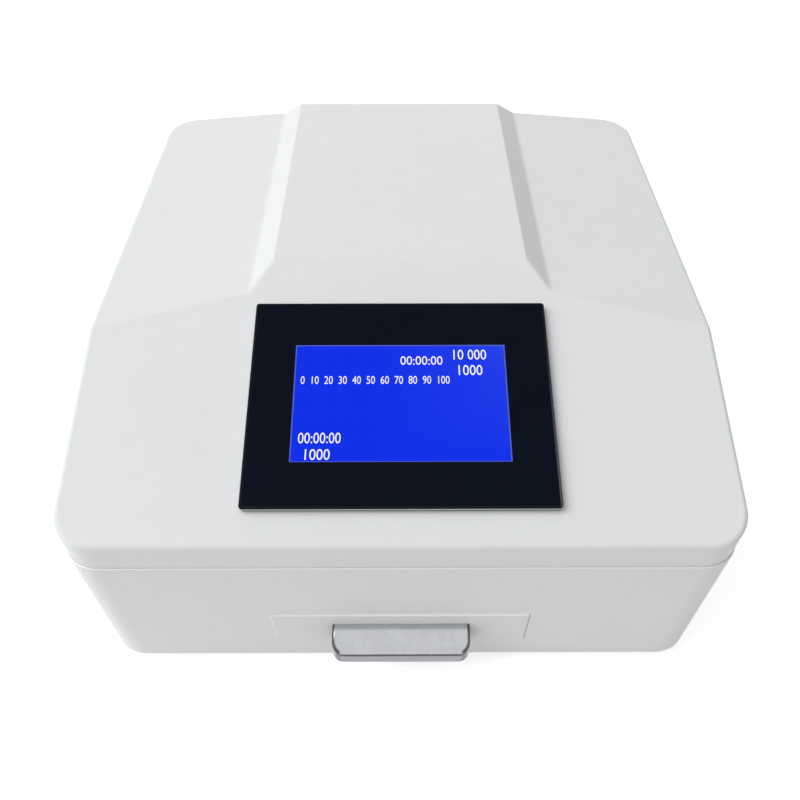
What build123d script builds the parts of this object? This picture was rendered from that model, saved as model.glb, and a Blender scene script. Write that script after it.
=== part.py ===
from build123d import *

# Drawer-type hard drive degausser. A moulded base and a moulded top cover, with a raised spine and a sloping
# front, hold an operator panel, a drive drawer that slides into a pulse coil, the capacitor bank and charger
# that feed the coil, and a mains entry and a cooling fan at the back.
# Millimetres, +Z up, the drawer towards -Y. The origin is on the ground, under the whole machine's middle.

import os
from math import atan2, cos, degrees, isclose, radians, sin, tan

# Case
BODY_WIDTH = 492.0
REAR_ROOM = 65.7
BASE_HEIGHT = 142.0
CORNER_RADIUS = 30.0
WALL = 4.0
FLOOR = 4.0
BOTTOM_RADIUS = 4.0
SEAM_STEP = 1.2
BASE_RIM_RADIUS = 0.5
LIP_HEIGHT = 26.5
SLOPE_ANGLE = 17.1
WING_EDGE_HEIGHT = 78.0
WING_RISE = 10.0
SPINE_STEP = 10.0
SPINE_TOP_WIDTH = 208.0
SPINE_SIDE_RUN = 18.0
WING_ROOT_RADIUS = 10.0
CREASE_RADIUS = 8.0
SPINE_EDGE_RADIUS = 3.0
RIM_RADIUS = 4.0
TONGUE_HEIGHT = 5.0
TONGUE_THICKNESS = 2.0
TONGUE_ROOT = 8.0
SEAT_GAP = 0.3
THREAD_GAP = 0.15

# Case screws, in columns at the four corners
COLUMN_RADIUS = 6.5
COLUMN_INSET = 21.0
COLUMN_TOP = 20.0
CASE_SCREW_RADIUS = 2.0
CASE_SCREW_BITE = 14.0
CASE_HEAD_RADIUS = 3.8
CASE_HEAD_HEIGHT = 3.0

# Rubber feet
FOOT_HEIGHT = 10.0
FOOT_RADIUS = 15.0
FOOT_TAPER = 2.0
FOOT_INSET = 48.0
FOOT_RECESS_RADIUS = 7.0
FOOT_WEB = 4.0
FOOT_SCREW_RADIUS = 2.0
FOOT_HEAD_RADIUS = 4.0
FOOT_HEAD_HEIGHT = 2.5

# Operator panel, on the sloping front
PANEL_WIDTH = 226.5
PANEL_HEIGHT = 168.0
PANEL_SETBACK = 27.6
PANEL_CORNER = 2.5
GASKET_THICKNESS = 1.0
GASKET_WIDTH = 5.0
BEZEL_THICKNESS = 5.2
BEZEL_BEVEL = 0.8
BEZEL_RIM = 2.0
TOUCH_THICKNESS = 1.2
SCREEN_WIDTH = 160.0
SCREEN_HEIGHT = 96.0
SCREEN_DROP = 1.5
SCREEN_MARGIN = 2.0
PANEL_BOX_DEPTH = 32.0
PANEL_BOX_WALL = 2.0
PANEL_BOX_GAP = 1.0
MAINBOARD_MARGIN = 5.0
MAINBOARD_POST = 10.0
MAINBOARD_POST_RADIUS = 3.0
CLAMP_WIDTH = 12.0
CLAMP_REACH = 11.0
CLAMP_HEIGHT = 8.0
CLAMP_DROP = 8.0
CLAMP_PITCH = 90.0
CLAMP_SCREW_RADIUS = 2.0
CLAMP_SCREW_LENGTH = 20.0

# Drawer
DRAWER_WIDTH = 201.0
DRAWER_HEIGHT = 43.0
DRAWER_RISE = 30.0
DRAWER_THICKNESS = 6.0
DRAWER_PROUD = 1.0
DRAWER_GAP = 0.5
DRAWER_EDGE_RADIUS = 0.9
POCKET_WIDTH = 160.0
POCKET_LENGTH = 112.0
POCKET_DEPTH = 31.0
TRAY_WALL = 3.0
TRAY_FLOOR = 3.0
TRAY_NOSE = 13.0
TRAY_OVERTRAVEL = 4.0
TAIL_WINDOW_MARGIN = 22.0
MAT_THICKNESS = 1.5
MAT_MARGIN = 1.0
STOP_THICKNESS = 4.0
STOP_OVERLAP = 9.0
FLAG_INSET = 5.0
FLAG_WIDTH = 1.6
FLAG_LENGTH = 14.0
FLAG_HEIGHT = 10.0
TRAY_SCREW_RADIUS = 1.5
TRAY_SCREW_INSET = 10.0
TRAY_SCREW_PITCH_Z = 18.0
STOP_SCREW_INSET = 30.0
TRAY_HEAD_RADIUS = 2.8
TRAY_HEAD_HEIGHT = 2.2

# Cup handle on the drawer
HANDLE_WIDTH = 109.0
HANDLE_REACH = 21.0
HANDLE_HEIGHT = 23.0
HANDLE_LIP = 11.0
HANDLE_RISE = 36.0
HANDLE_CORNER = 9.0
HANDLE_EDGE_RADIUS = 2.5
HANDLE_WALL = 2.0
HANDLE_POST_RADIUS = 4.5
HANDLE_SCREW_INSET = 22.5
HANDLE_SCREW_RADIUS = 2.0
HANDLE_SCREW_BITE = 9.0
HANDLE_HEAD_RADIUS = 3.6
HANDLE_HEAD_HEIGHT = 2.6

# Pulse coil round the drawer's path
COIL_LENGTH = 132.0
COIL_FRONT_GAP = 10.0
GUIDE_THICKNESS = 2.0
GUIDE_WIDTH = 12.0
GUIDE_HEIGHT = 14.0
RUN_GAP = 0.2
SIDE_GAP = 0.5
BORE_HEADROOM = 2.5
FORMER_WALL = 4.0
FLANGE_THICKNESS = 8.0
FLANGE_MARGIN = 4.0
WINDING_BUILD = 18.0
WINDING_GAP = 0.3
BRACKET_LEG = 22.0
BRACKET_THICKNESS = 3.0
BRACKET_WIDTH = 14.0
COIL_BOLT_RADIUS = 2.0
COIL_BOLT_BITE = 12.0
COIL_HEAD_RADIUS = 4.0
COIL_HEAD_HEIGHT = 2.8

# Capacitor bank behind the coil
CAP_RADIUS = 32.0
CAP_HEIGHT = 115.0
CAP_GAP = 6.0
CAP_COLUMNS = 3
CAP_ROWS = 2
CAP_RIM = 2.5
CAP_RIM_DEPTH = 2.0
CAP_SENSOR_GAP = 15.0
CAP_BANK_GAP = 14.0
CRADLE_HEIGHT = 14.0
CRADLE_MARGIN = 5.0
TERMINAL_PITCH = 28.0
TERMINAL_RADIUS = 7.0
TERMINAL_HEIGHT = 8.0
TERMINAL_SCREW_RADIUS = 2.5
TERMINAL_SCREW_BITE = 5.0
TERMINAL_HEAD_RADIUS = 5.0
TERMINAL_HEAD_HEIGHT = 4.0
BUSBAR_WIDTH = 15.0
BUSBAR_THICKNESS = 3.0
BUSBAR_OVERHANG = 14.0

# Discharge switch on its heat sink
SINK_WIDTH = 84.0
SINK_LENGTH = 104.0
SINK_HEIGHT = 36.0
SINK_PLATE = 6.0
SINK_FINS = 9
SINK_FIN = 2.5
SINK_EDGE = 18.5
SINK_SPACE = 18.0
THYRISTOR_WIDTH = 34.0
THYRISTOR_LENGTH = 92.0
THYRISTOR_HEIGHT = 30.0
THYRISTOR_STUD_RADIUS = 6.0
THYRISTOR_STUD_HEIGHT = 4.0

# Bleeder resistor
BLEEDER_LENGTH = 96.0
BLEEDER_WIDTH = 30.0
BLEEDER_HEIGHT = 26.0
BLEEDER_FOOT = 48.0
BLEEDER_FOOT_THICKNESS = 4.0
BLEEDER_EDGE = 42.5
BLEEDER_SPACE = 50.0

# Charging transformer
CORE_WIDTH = 100.0
CORE_HEIGHT = 84.0
CORE_STACK = 50.0
CORE_LIMB = 16.0
CORE_LEG = 32.0
CORE_EDGE = 7.5
CORE_LEAD = 11.3
BOBBIN_GAP = 0.5
BOBBIN_BUILD = 14.0
STRAP_THICKNESS = 2.0
STRAP_WIDTH = 34.0
STRAP_FOOT = 14.0
STRAP_BOLT_RADIUS = 2.0
STRAP_HEAD_RADIUS = 4.0
STRAP_HEAD_HEIGHT = 2.8

# Circuit boards on standoffs
BOARD_EDGE = 12.5
BOARD_COIL_GAP = 18.5
BOARD_LENGTH = 130.0
BOARD_THICKNESS = 1.6
BOARD_SETBACK = 30.0
BOARD_HOLE_INSET = 5.0
STANDOFF_RADIUS = 3.5
STANDOFF_HEIGHT = 12.0
RELAY_LENGTH = 20.0
RELAY_WIDTH = 15.0
RELAY_HEIGHT = 16.0
RELAY_PITCH = 24.0
CHOKE_RADIUS = 14.0
CHOKE_HEIGHT = 26.0
CHIP_SIZE = 18.0
CHIP_HEIGHT = 3.0
SOCKET_LENGTH = 60.0
SOCKET_WIDTH = 9.0
SOCKET_HEIGHT = 11.0

# Drawer position sensor
SENSOR_WIDTH = 16.0
SENSOR_LENGTH = 12.0
SENSOR_HEIGHT = 16.0
SENSOR_SLOT = 4.0
SENSOR_SLOT_DEPTH = 12.0
SENSOR_GAP = 1.5

# Cooling fan and its grille, on the back wall
FAN_SIZE = 80.0
FAN_DEPTH = 25.0
FAN_CORNER = 4.0
FAN_EDGE = 19.5
FAN_RIM = 2.0
FAN_HOLE_INSET = 4.25
FAN_HUB_RADIUS = 17.0
FAN_HUB_HEIGHT = 17.0
FAN_TIP_GAP = 1.2
FAN_BLADES = 7
FAN_BLADE_THICKNESS = 1.6
FAN_BLADE_CHORD = 17.0
FAN_BLADE_ROOT_ANGLE = 48.0
FAN_BLADE_TIP_ANGLE = 30.0
FAN_SHAFT_RADIUS = 1.5
FAN_SHAFT_GAP = 0.06
FAN_MOTOR_PLATE = 3.0
FAN_MOTOR_GAP = 1.0
FAN_STRUT_WIDTH = 5.0
FAN_SCREW_RADIUS = 2.0
FAN_HEAD_RADIUS = 3.6
FAN_HEAD_HEIGHT = 2.6
GRILLE_MARGIN = 3.0
GRILLE_THICKNESS = 7.0
GRILLE_CORNER = 6.0
GRILLE_BAR = 3.0
GRILLE_BARS = 6

# Mains inlet and power switch, on the back wall
MAINS_RISE = 66.0
INLET_EDGE = 15.5
INLET_FLANGE_WIDTH = 50.0
INLET_FLANGE_HEIGHT = 26.0
INLET_FLANGE_THICKNESS = 3.0
INLET_WIDTH = 24.6
INLET_HEIGHT = 17.0
INLET_BEVEL = 4.5
INLET_DEPTH = 18.0
INLET_WALL = 2.0
INLET_PIN_WIDTH = 2.0
INLET_PIN_HEIGHT = 4.0
INLET_PIN_LENGTH = 11.0
INLET_PIN_PITCH = 7.0
INLET_PIN_DROP = 2.0
INLET_SCREW_PITCH = 40.0
INLET_SCREW_RADIUS = 1.5
INLET_HEAD_RADIUS = 2.8
INLET_HEAD_HEIGHT = 2.0
SWITCH_SPACE = 16.5
SWITCH_FLANGE_WIDTH = 25.0
SWITCH_FLANGE_HEIGHT = 32.0
SWITCH_FLANGE_THICKNESS = 2.0
SWITCH_BODY_DEPTH = 20.0
SWITCH_WALL = 1.5
ROCKER_WIDTH = 18.0
ROCKER_LENGTH = 23.0
ROCKER_RISE = 3.5
ROCKER_KEEL = 6.0
ROCKER_SKIRT = 1.0
ROCKER_GAP = 0.7
ROCKER_TILT = 10.0
ROCKER_PIN_RADIUS = 1.2
ROCKER_PIN_GAP = 0.06

# Heights and depths that follow from the sizes above
BASE_Z = FOOT_HEIGHT
FLOOR_Z = BASE_Z + FLOOR
SEAM_Z = BASE_Z + BASE_HEIGHT
LIP_Z = SEAM_Z + LIP_HEIGHT
WING_ROOT_HEIGHT = WING_EDGE_HEIGHT + WING_RISE
SPINE_HEIGHT = WING_ROOT_HEIGHT + SPINE_STEP
SPINE_FOOT_WIDTH = SPINE_TOP_WIDTH + 2 * SPINE_SIDE_RUN
SPINE_Z = SEAM_Z + SPINE_HEIGHT
POCKET_OFFSET = DRAWER_THICKNESS - DRAWER_PROUD + 2 * TRAY_WALL + TRAY_NOSE
DRAWER_TRAVEL = POCKET_OFFSET + POCKET_LENGTH + TRAY_OVERTRAVEL
TRAY_REACH = WALL + COIL_FRONT_GAP + COIL_LENGTH + DRAWER_TRAVEL + SEAT_GAP
CAP_PITCH = 2 * CAP_RADIUS + CAP_GAP
BANK_DEPTH = 2 * CAP_RADIUS + CAP_PITCH * (CAP_ROWS - 1)
BODY_DEPTH = TRAY_REACH + STOP_THICKNESS + CAP_BANK_GAP + BANK_DEPTH + REAR_ROOM
WHOLE_DEPTH = HANDLE_REACH + DRAWER_PROUD + BODY_DEPTH + GRILLE_THICKNESS
FACE_Y = HANDLE_REACH - WHOLE_DEPTH / 2
FRONT_Y = FACE_Y + DRAWER_PROUD
REAR_Y = FRONT_Y + BODY_DEPTH
MID_Y = (FRONT_Y + REAR_Y) / 2
SLOPE = radians(SLOPE_ANGLE)
CASE_SCREW_POINTS = GridLocations(BODY_WIDTH - 2 * COLUMN_INSET, BODY_DEPTH - 2 * COLUMN_INSET, 2, 2)
FOOT_POINTS = GridLocations(BODY_WIDTH - 2 * FOOT_INSET, BODY_DEPTH - 2 * FOOT_INSET, 2, 2)

# The drawer, its tray and the coil round it
DRAWER_Z = BASE_Z + DRAWER_RISE
TRAY_WIDTH = POCKET_WIDTH + 2 * TRAY_WALL
TRAY_HEIGHT = POCKET_DEPTH + TRAY_FLOOR
TRAY_Z = DRAWER_Z + (DRAWER_HEIGHT - TRAY_HEIGHT) / 2
TRAY_START_Y = FACE_Y + DRAWER_THICKNESS
POCKET_START_Y = FRONT_Y + POCKET_OFFSET
POCKET_END_Y = POCKET_START_Y + POCKET_LENGTH
COIL_START_Y = FRONT_Y + WALL + COIL_FRONT_GAP
COIL_END_Y = COIL_START_Y + COIL_LENGTH
COIL_MID_Y = (COIL_START_Y + COIL_END_Y) / 2
TRAY_END_Y = FRONT_Y + TRAY_REACH
STOP_END_Y = TRAY_END_Y + STOP_THICKNESS
BORE_WIDTH = TRAY_WIDTH + 2 * (GUIDE_THICKNESS + SIDE_GAP)
BORE_BOTTOM_Z = TRAY_Z - RUN_GAP - GUIDE_THICKNESS
BORE_TOP_Z = TRAY_Z + TRAY_HEIGHT + BORE_HEADROOM
BORE_HEIGHT = BORE_TOP_Z - BORE_BOTTOM_Z
BORE_MID_Z = (BORE_TOP_Z + BORE_BOTTOM_Z) / 2
FLANGE_WIDTH = BORE_WIDTH + 2 * (FORMER_WALL + WINDING_BUILD + FLANGE_MARGIN)
FLANGE_TOP_Z = BORE_TOP_Z + FORMER_WALL + WINDING_BUILD + FLANGE_MARGIN
HANDLE_Z = BASE_Z + HANDLE_RISE
HANDLE_SCREW_Z = HANDLE_Z + HANDLE_HEIGHT / 2
TRAY_MID_Z = TRAY_Z + TRAY_HEIGHT / 2
BRACKET_BOLT_Z = FLOOR_Z + BRACKET_LEG - 2 * COIL_HEAD_RADIUS
BRACKET_FOOT_POINTS = GridLocations(
    FLANGE_WIDTH + BRACKET_LEG + BRACKET_THICKNESS, COIL_LENGTH - FLANGE_THICKNESS, 2, 2
)
TRAY_SCREW_PITCH_X = POCKET_WIDTH - 2 * TRAY_SCREW_INSET
STOP_SCREW_PITCH = POCKET_WIDTH - 2 * STOP_SCREW_INSET
HANDLE_SCREW_PITCH = HANDLE_WIDTH - 2 * HANDLE_SCREW_INSET
FLAG_X = POCKET_WIDTH / 2 - FLAG_INSET
SENSOR_Y = STOP_END_Y + SENSOR_GAP + SENSOR_LENGTH / 2
SENSOR_Z = TRAY_MID_Z - FLAG_HEIGHT / 2 - SENSOR_GAP - SENSOR_HEIGHT + SENSOR_SLOT_DEPTH

# The back wall, the bank behind the coil, and what stands beside them
INSIDE_X = BODY_WIDTH / 2 - WALL
BACK_X = BODY_WIDTH / 2 - CORNER_RADIUS
MAINS_Z = BASE_Z + MAINS_RISE
FAN_Z = BASE_Z + BASE_HEIGHT / 2
FAN_BORE_RADIUS = FAN_SIZE / 2 - FAN_RIM
FAN_HOLE_PITCH = FAN_SIZE - 2 * FAN_HOLE_INSET
GRILLE_SIZE = FAN_SIZE + 2 * GRILLE_MARGIN
FAN_X = BACK_X - FAN_EDGE - GRILLE_SIZE / 2
INLET_X = INLET_EDGE + INLET_FLANGE_WIDTH / 2 - BACK_X
SWITCH_X = INLET_X + INLET_FLANGE_WIDTH / 2 + SWITCH_SPACE + SWITCH_FLANGE_WIDTH / 2
CRADLE_HALF = CAP_PITCH * (CAP_COLUMNS - 1) / 2 + CAP_RADIUS + CRADLE_MARGIN
CAP_BANK_X = FLAG_X - SENSOR_WIDTH / 2 - CAP_SENSOR_GAP - CRADLE_HALF
CAP_BANK_Y = STOP_END_Y + CAP_BANK_GAP + CAP_RADIUS + CAP_PITCH * (CAP_ROWS - 1) / 2
CAP_POINTS = GridLocations(CAP_PITCH, CAP_PITCH, CAP_COLUMNS, CAP_ROWS)
CAP_TOP_Z = FLOOR_Z + CAP_HEIGHT
BUSBAR_Z = CAP_TOP_Z - CAP_RIM_DEPTH + TERMINAL_HEIGHT
CORE_X = INSIDE_X - CORE_EDGE - STRAP_FOOT - STRAP_THICKNESS - CORE_WIDTH / 2
CORE_Y = CAP_BANK_Y - CORE_LEAD
STRAP_POINTS = GridLocations(CORE_WIDTH + 2 * STRAP_THICKNESS + STRAP_FOOT, 0, 2, 1)
BOARD_WIDTH = INSIDE_X - BOARD_EDGE - FLANGE_WIDTH / 2 - BOARD_COIL_GAP
BOARD_X = INSIDE_X - BOARD_EDGE - BOARD_WIDTH / 2
BOARD_END_Y = FRONT_Y + BOARD_SETBACK + BOARD_LENGTH
BOARD_Y = BOARD_END_Y - BOARD_LENGTH / 2
SINK_X = SINK_EDGE + SINK_WIDTH / 2 - INSIDE_X
SINK_Y = BOARD_END_Y + SINK_SPACE + SINK_LENGTH / 2
BLEEDER_X = INSIDE_X - BLEEDER_EDGE - BLEEDER_FOOT / 2
BLEEDER_Y = BOARD_END_Y + BLEEDER_SPACE + BLEEDER_LENGTH / 2
BOARD_Z = FLOOR_Z + STANDOFF_HEIGHT
BOARD_POINTS = GridLocations(BOARD_WIDTH - 2 * BOARD_HOLE_INSET, BOARD_LENGTH - 2 * BOARD_HOLE_INSET, 2, 2)

# The operator panel's own plane: X across, Y up the slope, Z out of the case, origin at the panel's middle
PANEL_UP_SLOPE = PANEL_SETBACK + PANEL_HEIGHT / 2
PANEL_PLANE = Plane(
    origin=(0, FRONT_Y + PANEL_UP_SLOPE * cos(SLOPE), LIP_Z + PANEL_UP_SLOPE * sin(SLOPE)),
    x_dir=(1, 0, 0),
    z_dir=(0, -sin(SLOPE), cos(SLOPE)),
)
BEZEL_BACK = GASKET_THICKNESS
BEZEL_FACE = BEZEL_BACK + BEZEL_THICKNESS
TOUCH_BACK = BEZEL_FACE - TOUCH_THICKNESS
SCREEN_THICKNESS = TOUCH_BACK - BEZEL_BACK
PANEL_BOX_WIDTH = PANEL_WIDTH - 2 * GASKET_WIDTH - 2 * PANEL_BOX_GAP
PANEL_BOX_HEIGHT = PANEL_HEIGHT - 2 * GASKET_WIDTH - 2 * PANEL_BOX_GAP
CLAMP_TOP = -WALL - CLAMP_DROP

SMALL = 0.01


def facing_front(y, x=0, z=0):
    """Upright plane at depth y, centred on x and z: local X is +X, local Y is +Z, and it faces the front."""
    return Plane(origin=(x, y, z), x_dir=(1, 0, 0), z_dir=(0, -1, 0))


def facing_rear(y, x, z):
    """Upright plane at depth y, centred on x and z: local X is -X, local Y is +Z, and it faces the back."""
    return Plane(origin=(x, y, z), x_dir=(-1, 0, 0), z_dir=(0, 1, 0))


def level(z, x=0, y=0):
    """Level plane at height z, centred on x and y."""
    return Plane(origin=(x, y, z))


def save(builder, name):
    """Labels a finished piece and writes it as parts/NAME.step."""
    builder.part.label = name
    export_step(builder.part, f"parts/{name}.step")


os.makedirs("parts", exist_ok=True)


# Top cover: the outline, the cross-section with its raised spine, and the sloping front, met in one solid
def cover_envelope(inset):
    """The cover's solid form, a step inside the base's outline, with every wall moved in by inset."""
    wall = SEAM_STEP + inset
    lip_z = LIP_Z + wall * tan(SLOPE) - inset / cos(SLOPE)
    spine_z = SPINE_Z - inset
    slope_run = (spine_z - lip_z) / tan(SLOPE)
    with BuildPart() as envelope:
        with BuildSketch(level(SEAM_Z, y=MID_Y)):
            RectangleRounded(BODY_WIDTH - 2 * wall, BODY_DEPTH - 2 * wall, CORNER_RADIUS - wall)
        extrude(amount=SPINE_HEIGHT)
        with BuildSketch(Plane.XZ):
            with BuildLine():
                Polyline(
                    (0, SEAM_Z),
                    (BODY_WIDTH / 2, SEAM_Z),
                    (BODY_WIDTH / 2, SEAM_Z + WING_EDGE_HEIGHT - inset),
                    (SPINE_FOOT_WIDTH / 2, SEAM_Z + WING_ROOT_HEIGHT - inset),
                    (SPINE_TOP_WIDTH / 2, spine_z),
                    (0, spine_z),
                    close=True,
                )
            make_face()
            mirror(about=Plane.YZ)
        extrude(amount=WHOLE_DEPTH, both=True, mode=Mode.INTERSECT)
        with BuildSketch(Plane.YZ):
            with BuildLine():
                Polyline(
                    (FRONT_Y + wall, SEAM_Z),
                    (REAR_Y, SEAM_Z),
                    (REAR_Y, spine_z),
                    (FRONT_Y + wall + slope_run, spine_z),
                    (FRONT_Y + wall, lip_z),
                    close=True,
                )
            make_face()
        extrude(amount=BODY_WIDTH, both=True, mode=Mode.INTERSECT)
    return envelope.part


def lengthwise_edges(part, half_width):
    """The two edges that run from front to back at half_width either side of the middle."""
    edges = part.edges().filter_by(Axis.Y)
    return edges.filter_by(lambda e: isclose(abs(e.center().X), half_width, abs_tol=SMALL))


def crease_edges(part):
    """The straight edges where the sloping front meets the wings, the spine's sides and the spine's top."""
    out = PANEL_PLANE.z_dir
    slope_face = part.faces().filter_by(lambda f: isclose(f.normal_at().dot(out), 1, abs_tol=1e-6))
    edges = slope_face.edges().filter_by(GeomType.LINE)
    behind_lip = edges.filter_by(lambda e: e.center().Y > FRONT_Y + SEAM_STEP + SMALL)
    return behind_lip.filter_by(lambda e: abs(e.tangent_at(0).X) > SMALL)


def rim_edges(part):
    """The edges where the upright outer walls meet the top."""
    walls = part.faces().filter_by(lambda f: abs(f.normal_at().Z) < 1e-4)
    high = walls.edges().filter_by(lambda e: e.bounding_box().min.Z > LIP_Z - SMALL)
    return high.filter_by(lambda e: abs(e.tangent_at(0.5).Z) < 0.9)


with BuildPart() as cover_bosses:
    with BuildSketch(level(SEAM_Z, y=MID_Y)):
        with CASE_SCREW_POINTS:
            Circle(COLUMN_RADIUS)
    extrude(amount=SPINE_HEIGHT)
    add(cover_envelope(WALL / 2), mode=Mode.INTERSECT)
    with BuildSketch(level(SEAM_Z, y=MID_Y)):
        with CASE_SCREW_POINTS:
            Circle(CASE_SCREW_RADIUS + THREAD_GAP)
    extrude(amount=CASE_SCREW_BITE + SEAT_GAP, mode=Mode.SUBTRACT)

with BuildPart() as top_cover:
    add(cover_envelope(0))
    fillet(lengthwise_edges(top_cover.part, SPINE_FOOT_WIDTH / 2), WING_ROOT_RADIUS)
    fillet(crease_edges(top_cover.part), CREASE_RADIUS)
    fillet(lengthwise_edges(top_cover.part, SPINE_TOP_WIDTH / 2), SPINE_EDGE_RADIUS)
    fillet(rim_edges(top_cover.part), RIM_RADIUS)
    add(cover_envelope(WALL), mode=Mode.SUBTRACT)
    with BuildSketch(PANEL_PLANE):
        Rectangle(PANEL_BOX_WIDTH + 2 * PANEL_BOX_GAP, PANEL_BOX_HEIGHT + 2 * PANEL_BOX_GAP)
    extrude(amount=2 * WALL, both=True, mode=Mode.SUBTRACT)
    add(cover_bosses.part)
save(top_cover, "top_cover")

# Base: an open box with a tongue that the cover sits over, a drawer mouth in front and cut-outs at the back
with BuildPart() as base_shell:
    with BuildSketch(level(BASE_Z, y=MID_Y)):
        RectangleRounded(BODY_WIDTH, BODY_DEPTH, CORNER_RADIUS)
    extrude(amount=BASE_HEIGHT)
    fillet(base_shell.edges().group_by(Axis.Z)[0], BOTTOM_RADIUS)
    fillet(base_shell.edges().group_by(Axis.Z)[-1], BASE_RIM_RADIUS)
    with BuildSketch(level(FLOOR_Z, y=MID_Y)):
        RectangleRounded(BODY_WIDTH - 2 * WALL, BODY_DEPTH - 2 * WALL, CORNER_RADIUS - WALL)
    extrude(amount=BASE_HEIGHT, mode=Mode.SUBTRACT)
    # Tongue and the ledge that carries it
    tongue_inset = SEAM_STEP + WALL + SEAT_GAP
    ledge_inset = tongue_inset + TONGUE_THICKNESS
    with BuildSketch(level(SEAM_Z - TONGUE_ROOT, y=MID_Y)):
        RectangleRounded(BODY_WIDTH - WALL, BODY_DEPTH - WALL, CORNER_RADIUS - WALL / 2)
        RectangleRounded(
            BODY_WIDTH - 2 * ledge_inset,
            BODY_DEPTH - 2 * ledge_inset,
            CORNER_RADIUS - ledge_inset,
            mode=Mode.SUBTRACT,
        )
    extrude(amount=TONGUE_ROOT)
    with BuildSketch(level(SEAM_Z, y=MID_Y)):
        RectangleRounded(
            BODY_WIDTH - 2 * tongue_inset,
            BODY_DEPTH - 2 * tongue_inset,
            CORNER_RADIUS - tongue_inset,
        )
        RectangleRounded(
            BODY_WIDTH - 2 * ledge_inset,
            BODY_DEPTH - 2 * ledge_inset,
            CORNER_RADIUS - ledge_inset,
            mode=Mode.SUBTRACT,
        )
    extrude(amount=TONGUE_HEIGHT)
    # Screw columns, open from below up to the screw's seat
    with BuildSketch(level(FLOOR_Z, y=MID_Y)):
        with CASE_SCREW_POINTS:
            Circle(COLUMN_RADIUS)
    extrude(amount=SEAM_Z - FLOOR_Z)
    with BuildSketch(level(BASE_Z, y=MID_Y)):
        with CASE_SCREW_POINTS:
            Circle(CASE_HEAD_RADIUS + SEAT_GAP)
    extrude(amount=BASE_HEIGHT - COLUMN_TOP, mode=Mode.SUBTRACT)
    with BuildSketch(level(BASE_Z, y=MID_Y)):
        with CASE_SCREW_POINTS:
            Circle(CASE_SCREW_RADIUS + THREAD_GAP)
        with FOOT_POINTS:
            Circle(FOOT_SCREW_RADIUS + THREAD_GAP)
    extrude(amount=BASE_HEIGHT, mode=Mode.SUBTRACT)
    # Bolt holes for the coil's brackets and the transformer's strap
    with BuildSketch(level(BASE_Z, y=COIL_MID_Y)):
        with BRACKET_FOOT_POINTS:
            Circle(COIL_BOLT_RADIUS + THREAD_GAP)
    extrude(amount=FLOOR, mode=Mode.SUBTRACT)
    with BuildSketch(level(BASE_Z, CORE_X, CORE_Y)):
        with STRAP_POINTS:
            Circle(STRAP_BOLT_RADIUS + THREAD_GAP)
    extrude(amount=FLOOR, mode=Mode.SUBTRACT)
    # Drawer mouth
    with BuildSketch(facing_front(FRONT_Y, z=DRAWER_Z + DRAWER_HEIGHT / 2)):
        Rectangle(DRAWER_WIDTH + 2 * DRAWER_GAP, DRAWER_HEIGHT + 2 * DRAWER_GAP)
    extrude(amount=-2 * WALL, mode=Mode.SUBTRACT)
    # Fan opening with its screw holes
    with BuildSketch(facing_rear(REAR_Y, FAN_X, FAN_Z)):
        Circle(FAN_BORE_RADIUS)
        with GridLocations(FAN_HOLE_PITCH, FAN_HOLE_PITCH, 2, 2):
            Circle(FAN_SCREW_RADIUS + THREAD_GAP)
    extrude(amount=-2 * WALL, mode=Mode.SUBTRACT)
    # Mains inlet and switch cut-outs
    with BuildSketch(facing_rear(REAR_Y, INLET_X, MAINS_Z)):
        Rectangle(INLET_WIDTH + 2 * (INLET_WALL + SEAT_GAP), INLET_HEIGHT + 2 * (INLET_WALL + SEAT_GAP))
        with GridLocations(INLET_SCREW_PITCH, 0, 2, 1):
            Circle(INLET_SCREW_RADIUS + THREAD_GAP)
    extrude(amount=-2 * WALL, mode=Mode.SUBTRACT)
    with BuildSketch(facing_rear(REAR_Y, SWITCH_X, MAINS_Z)):
        Rectangle(
            ROCKER_WIDTH + 2 * (ROCKER_GAP + SWITCH_WALL + SEAT_GAP),
            ROCKER_LENGTH + 2 * (ROCKER_GAP + SWITCH_WALL + SEAT_GAP),
        )
    extrude(amount=-2 * WALL, mode=Mode.SUBTRACT)
save(base_shell, "base_shell")

# Case screws, up through the columns into the cover's bosses
CASE_SEAT_Z = SEAM_Z - COLUMN_TOP
with BuildPart() as case_screws:
    with BuildSketch(level(CASE_SEAT_Z, y=MID_Y)):
        with CASE_SCREW_POINTS:
            Circle(CASE_HEAD_RADIUS)
    extrude(amount=-CASE_HEAD_HEIGHT)
    with BuildSketch(level(CASE_SEAT_Z, y=MID_Y)):
        with CASE_SCREW_POINTS:
            Circle(CASE_SCREW_RADIUS)
    extrude(amount=COLUMN_TOP + CASE_SCREW_BITE)
save(case_screws, "case_screws")

# Rubber feet: tapered pads with a recess for the screw
with BuildPart() as rubber_feet:
    with BuildSketch(level(0, y=MID_Y)):
        with FOOT_POINTS:
            Circle(FOOT_RADIUS - FOOT_TAPER)
    extrude(amount=FOOT_HEIGHT, taper=-degrees(atan2(FOOT_TAPER, FOOT_HEIGHT)))
    with BuildSketch(level(0, y=MID_Y)):
        with FOOT_POINTS:
            Circle(FOOT_RECESS_RADIUS)
    extrude(amount=FOOT_HEIGHT - FOOT_WEB, mode=Mode.SUBTRACT)
    with BuildSketch(level(0, y=MID_Y)):
        with FOOT_POINTS:
            Circle(FOOT_SCREW_RADIUS + THREAD_GAP)
    extrude(amount=FOOT_HEIGHT, mode=Mode.SUBTRACT)
save(rubber_feet, "rubber_feet")

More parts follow.
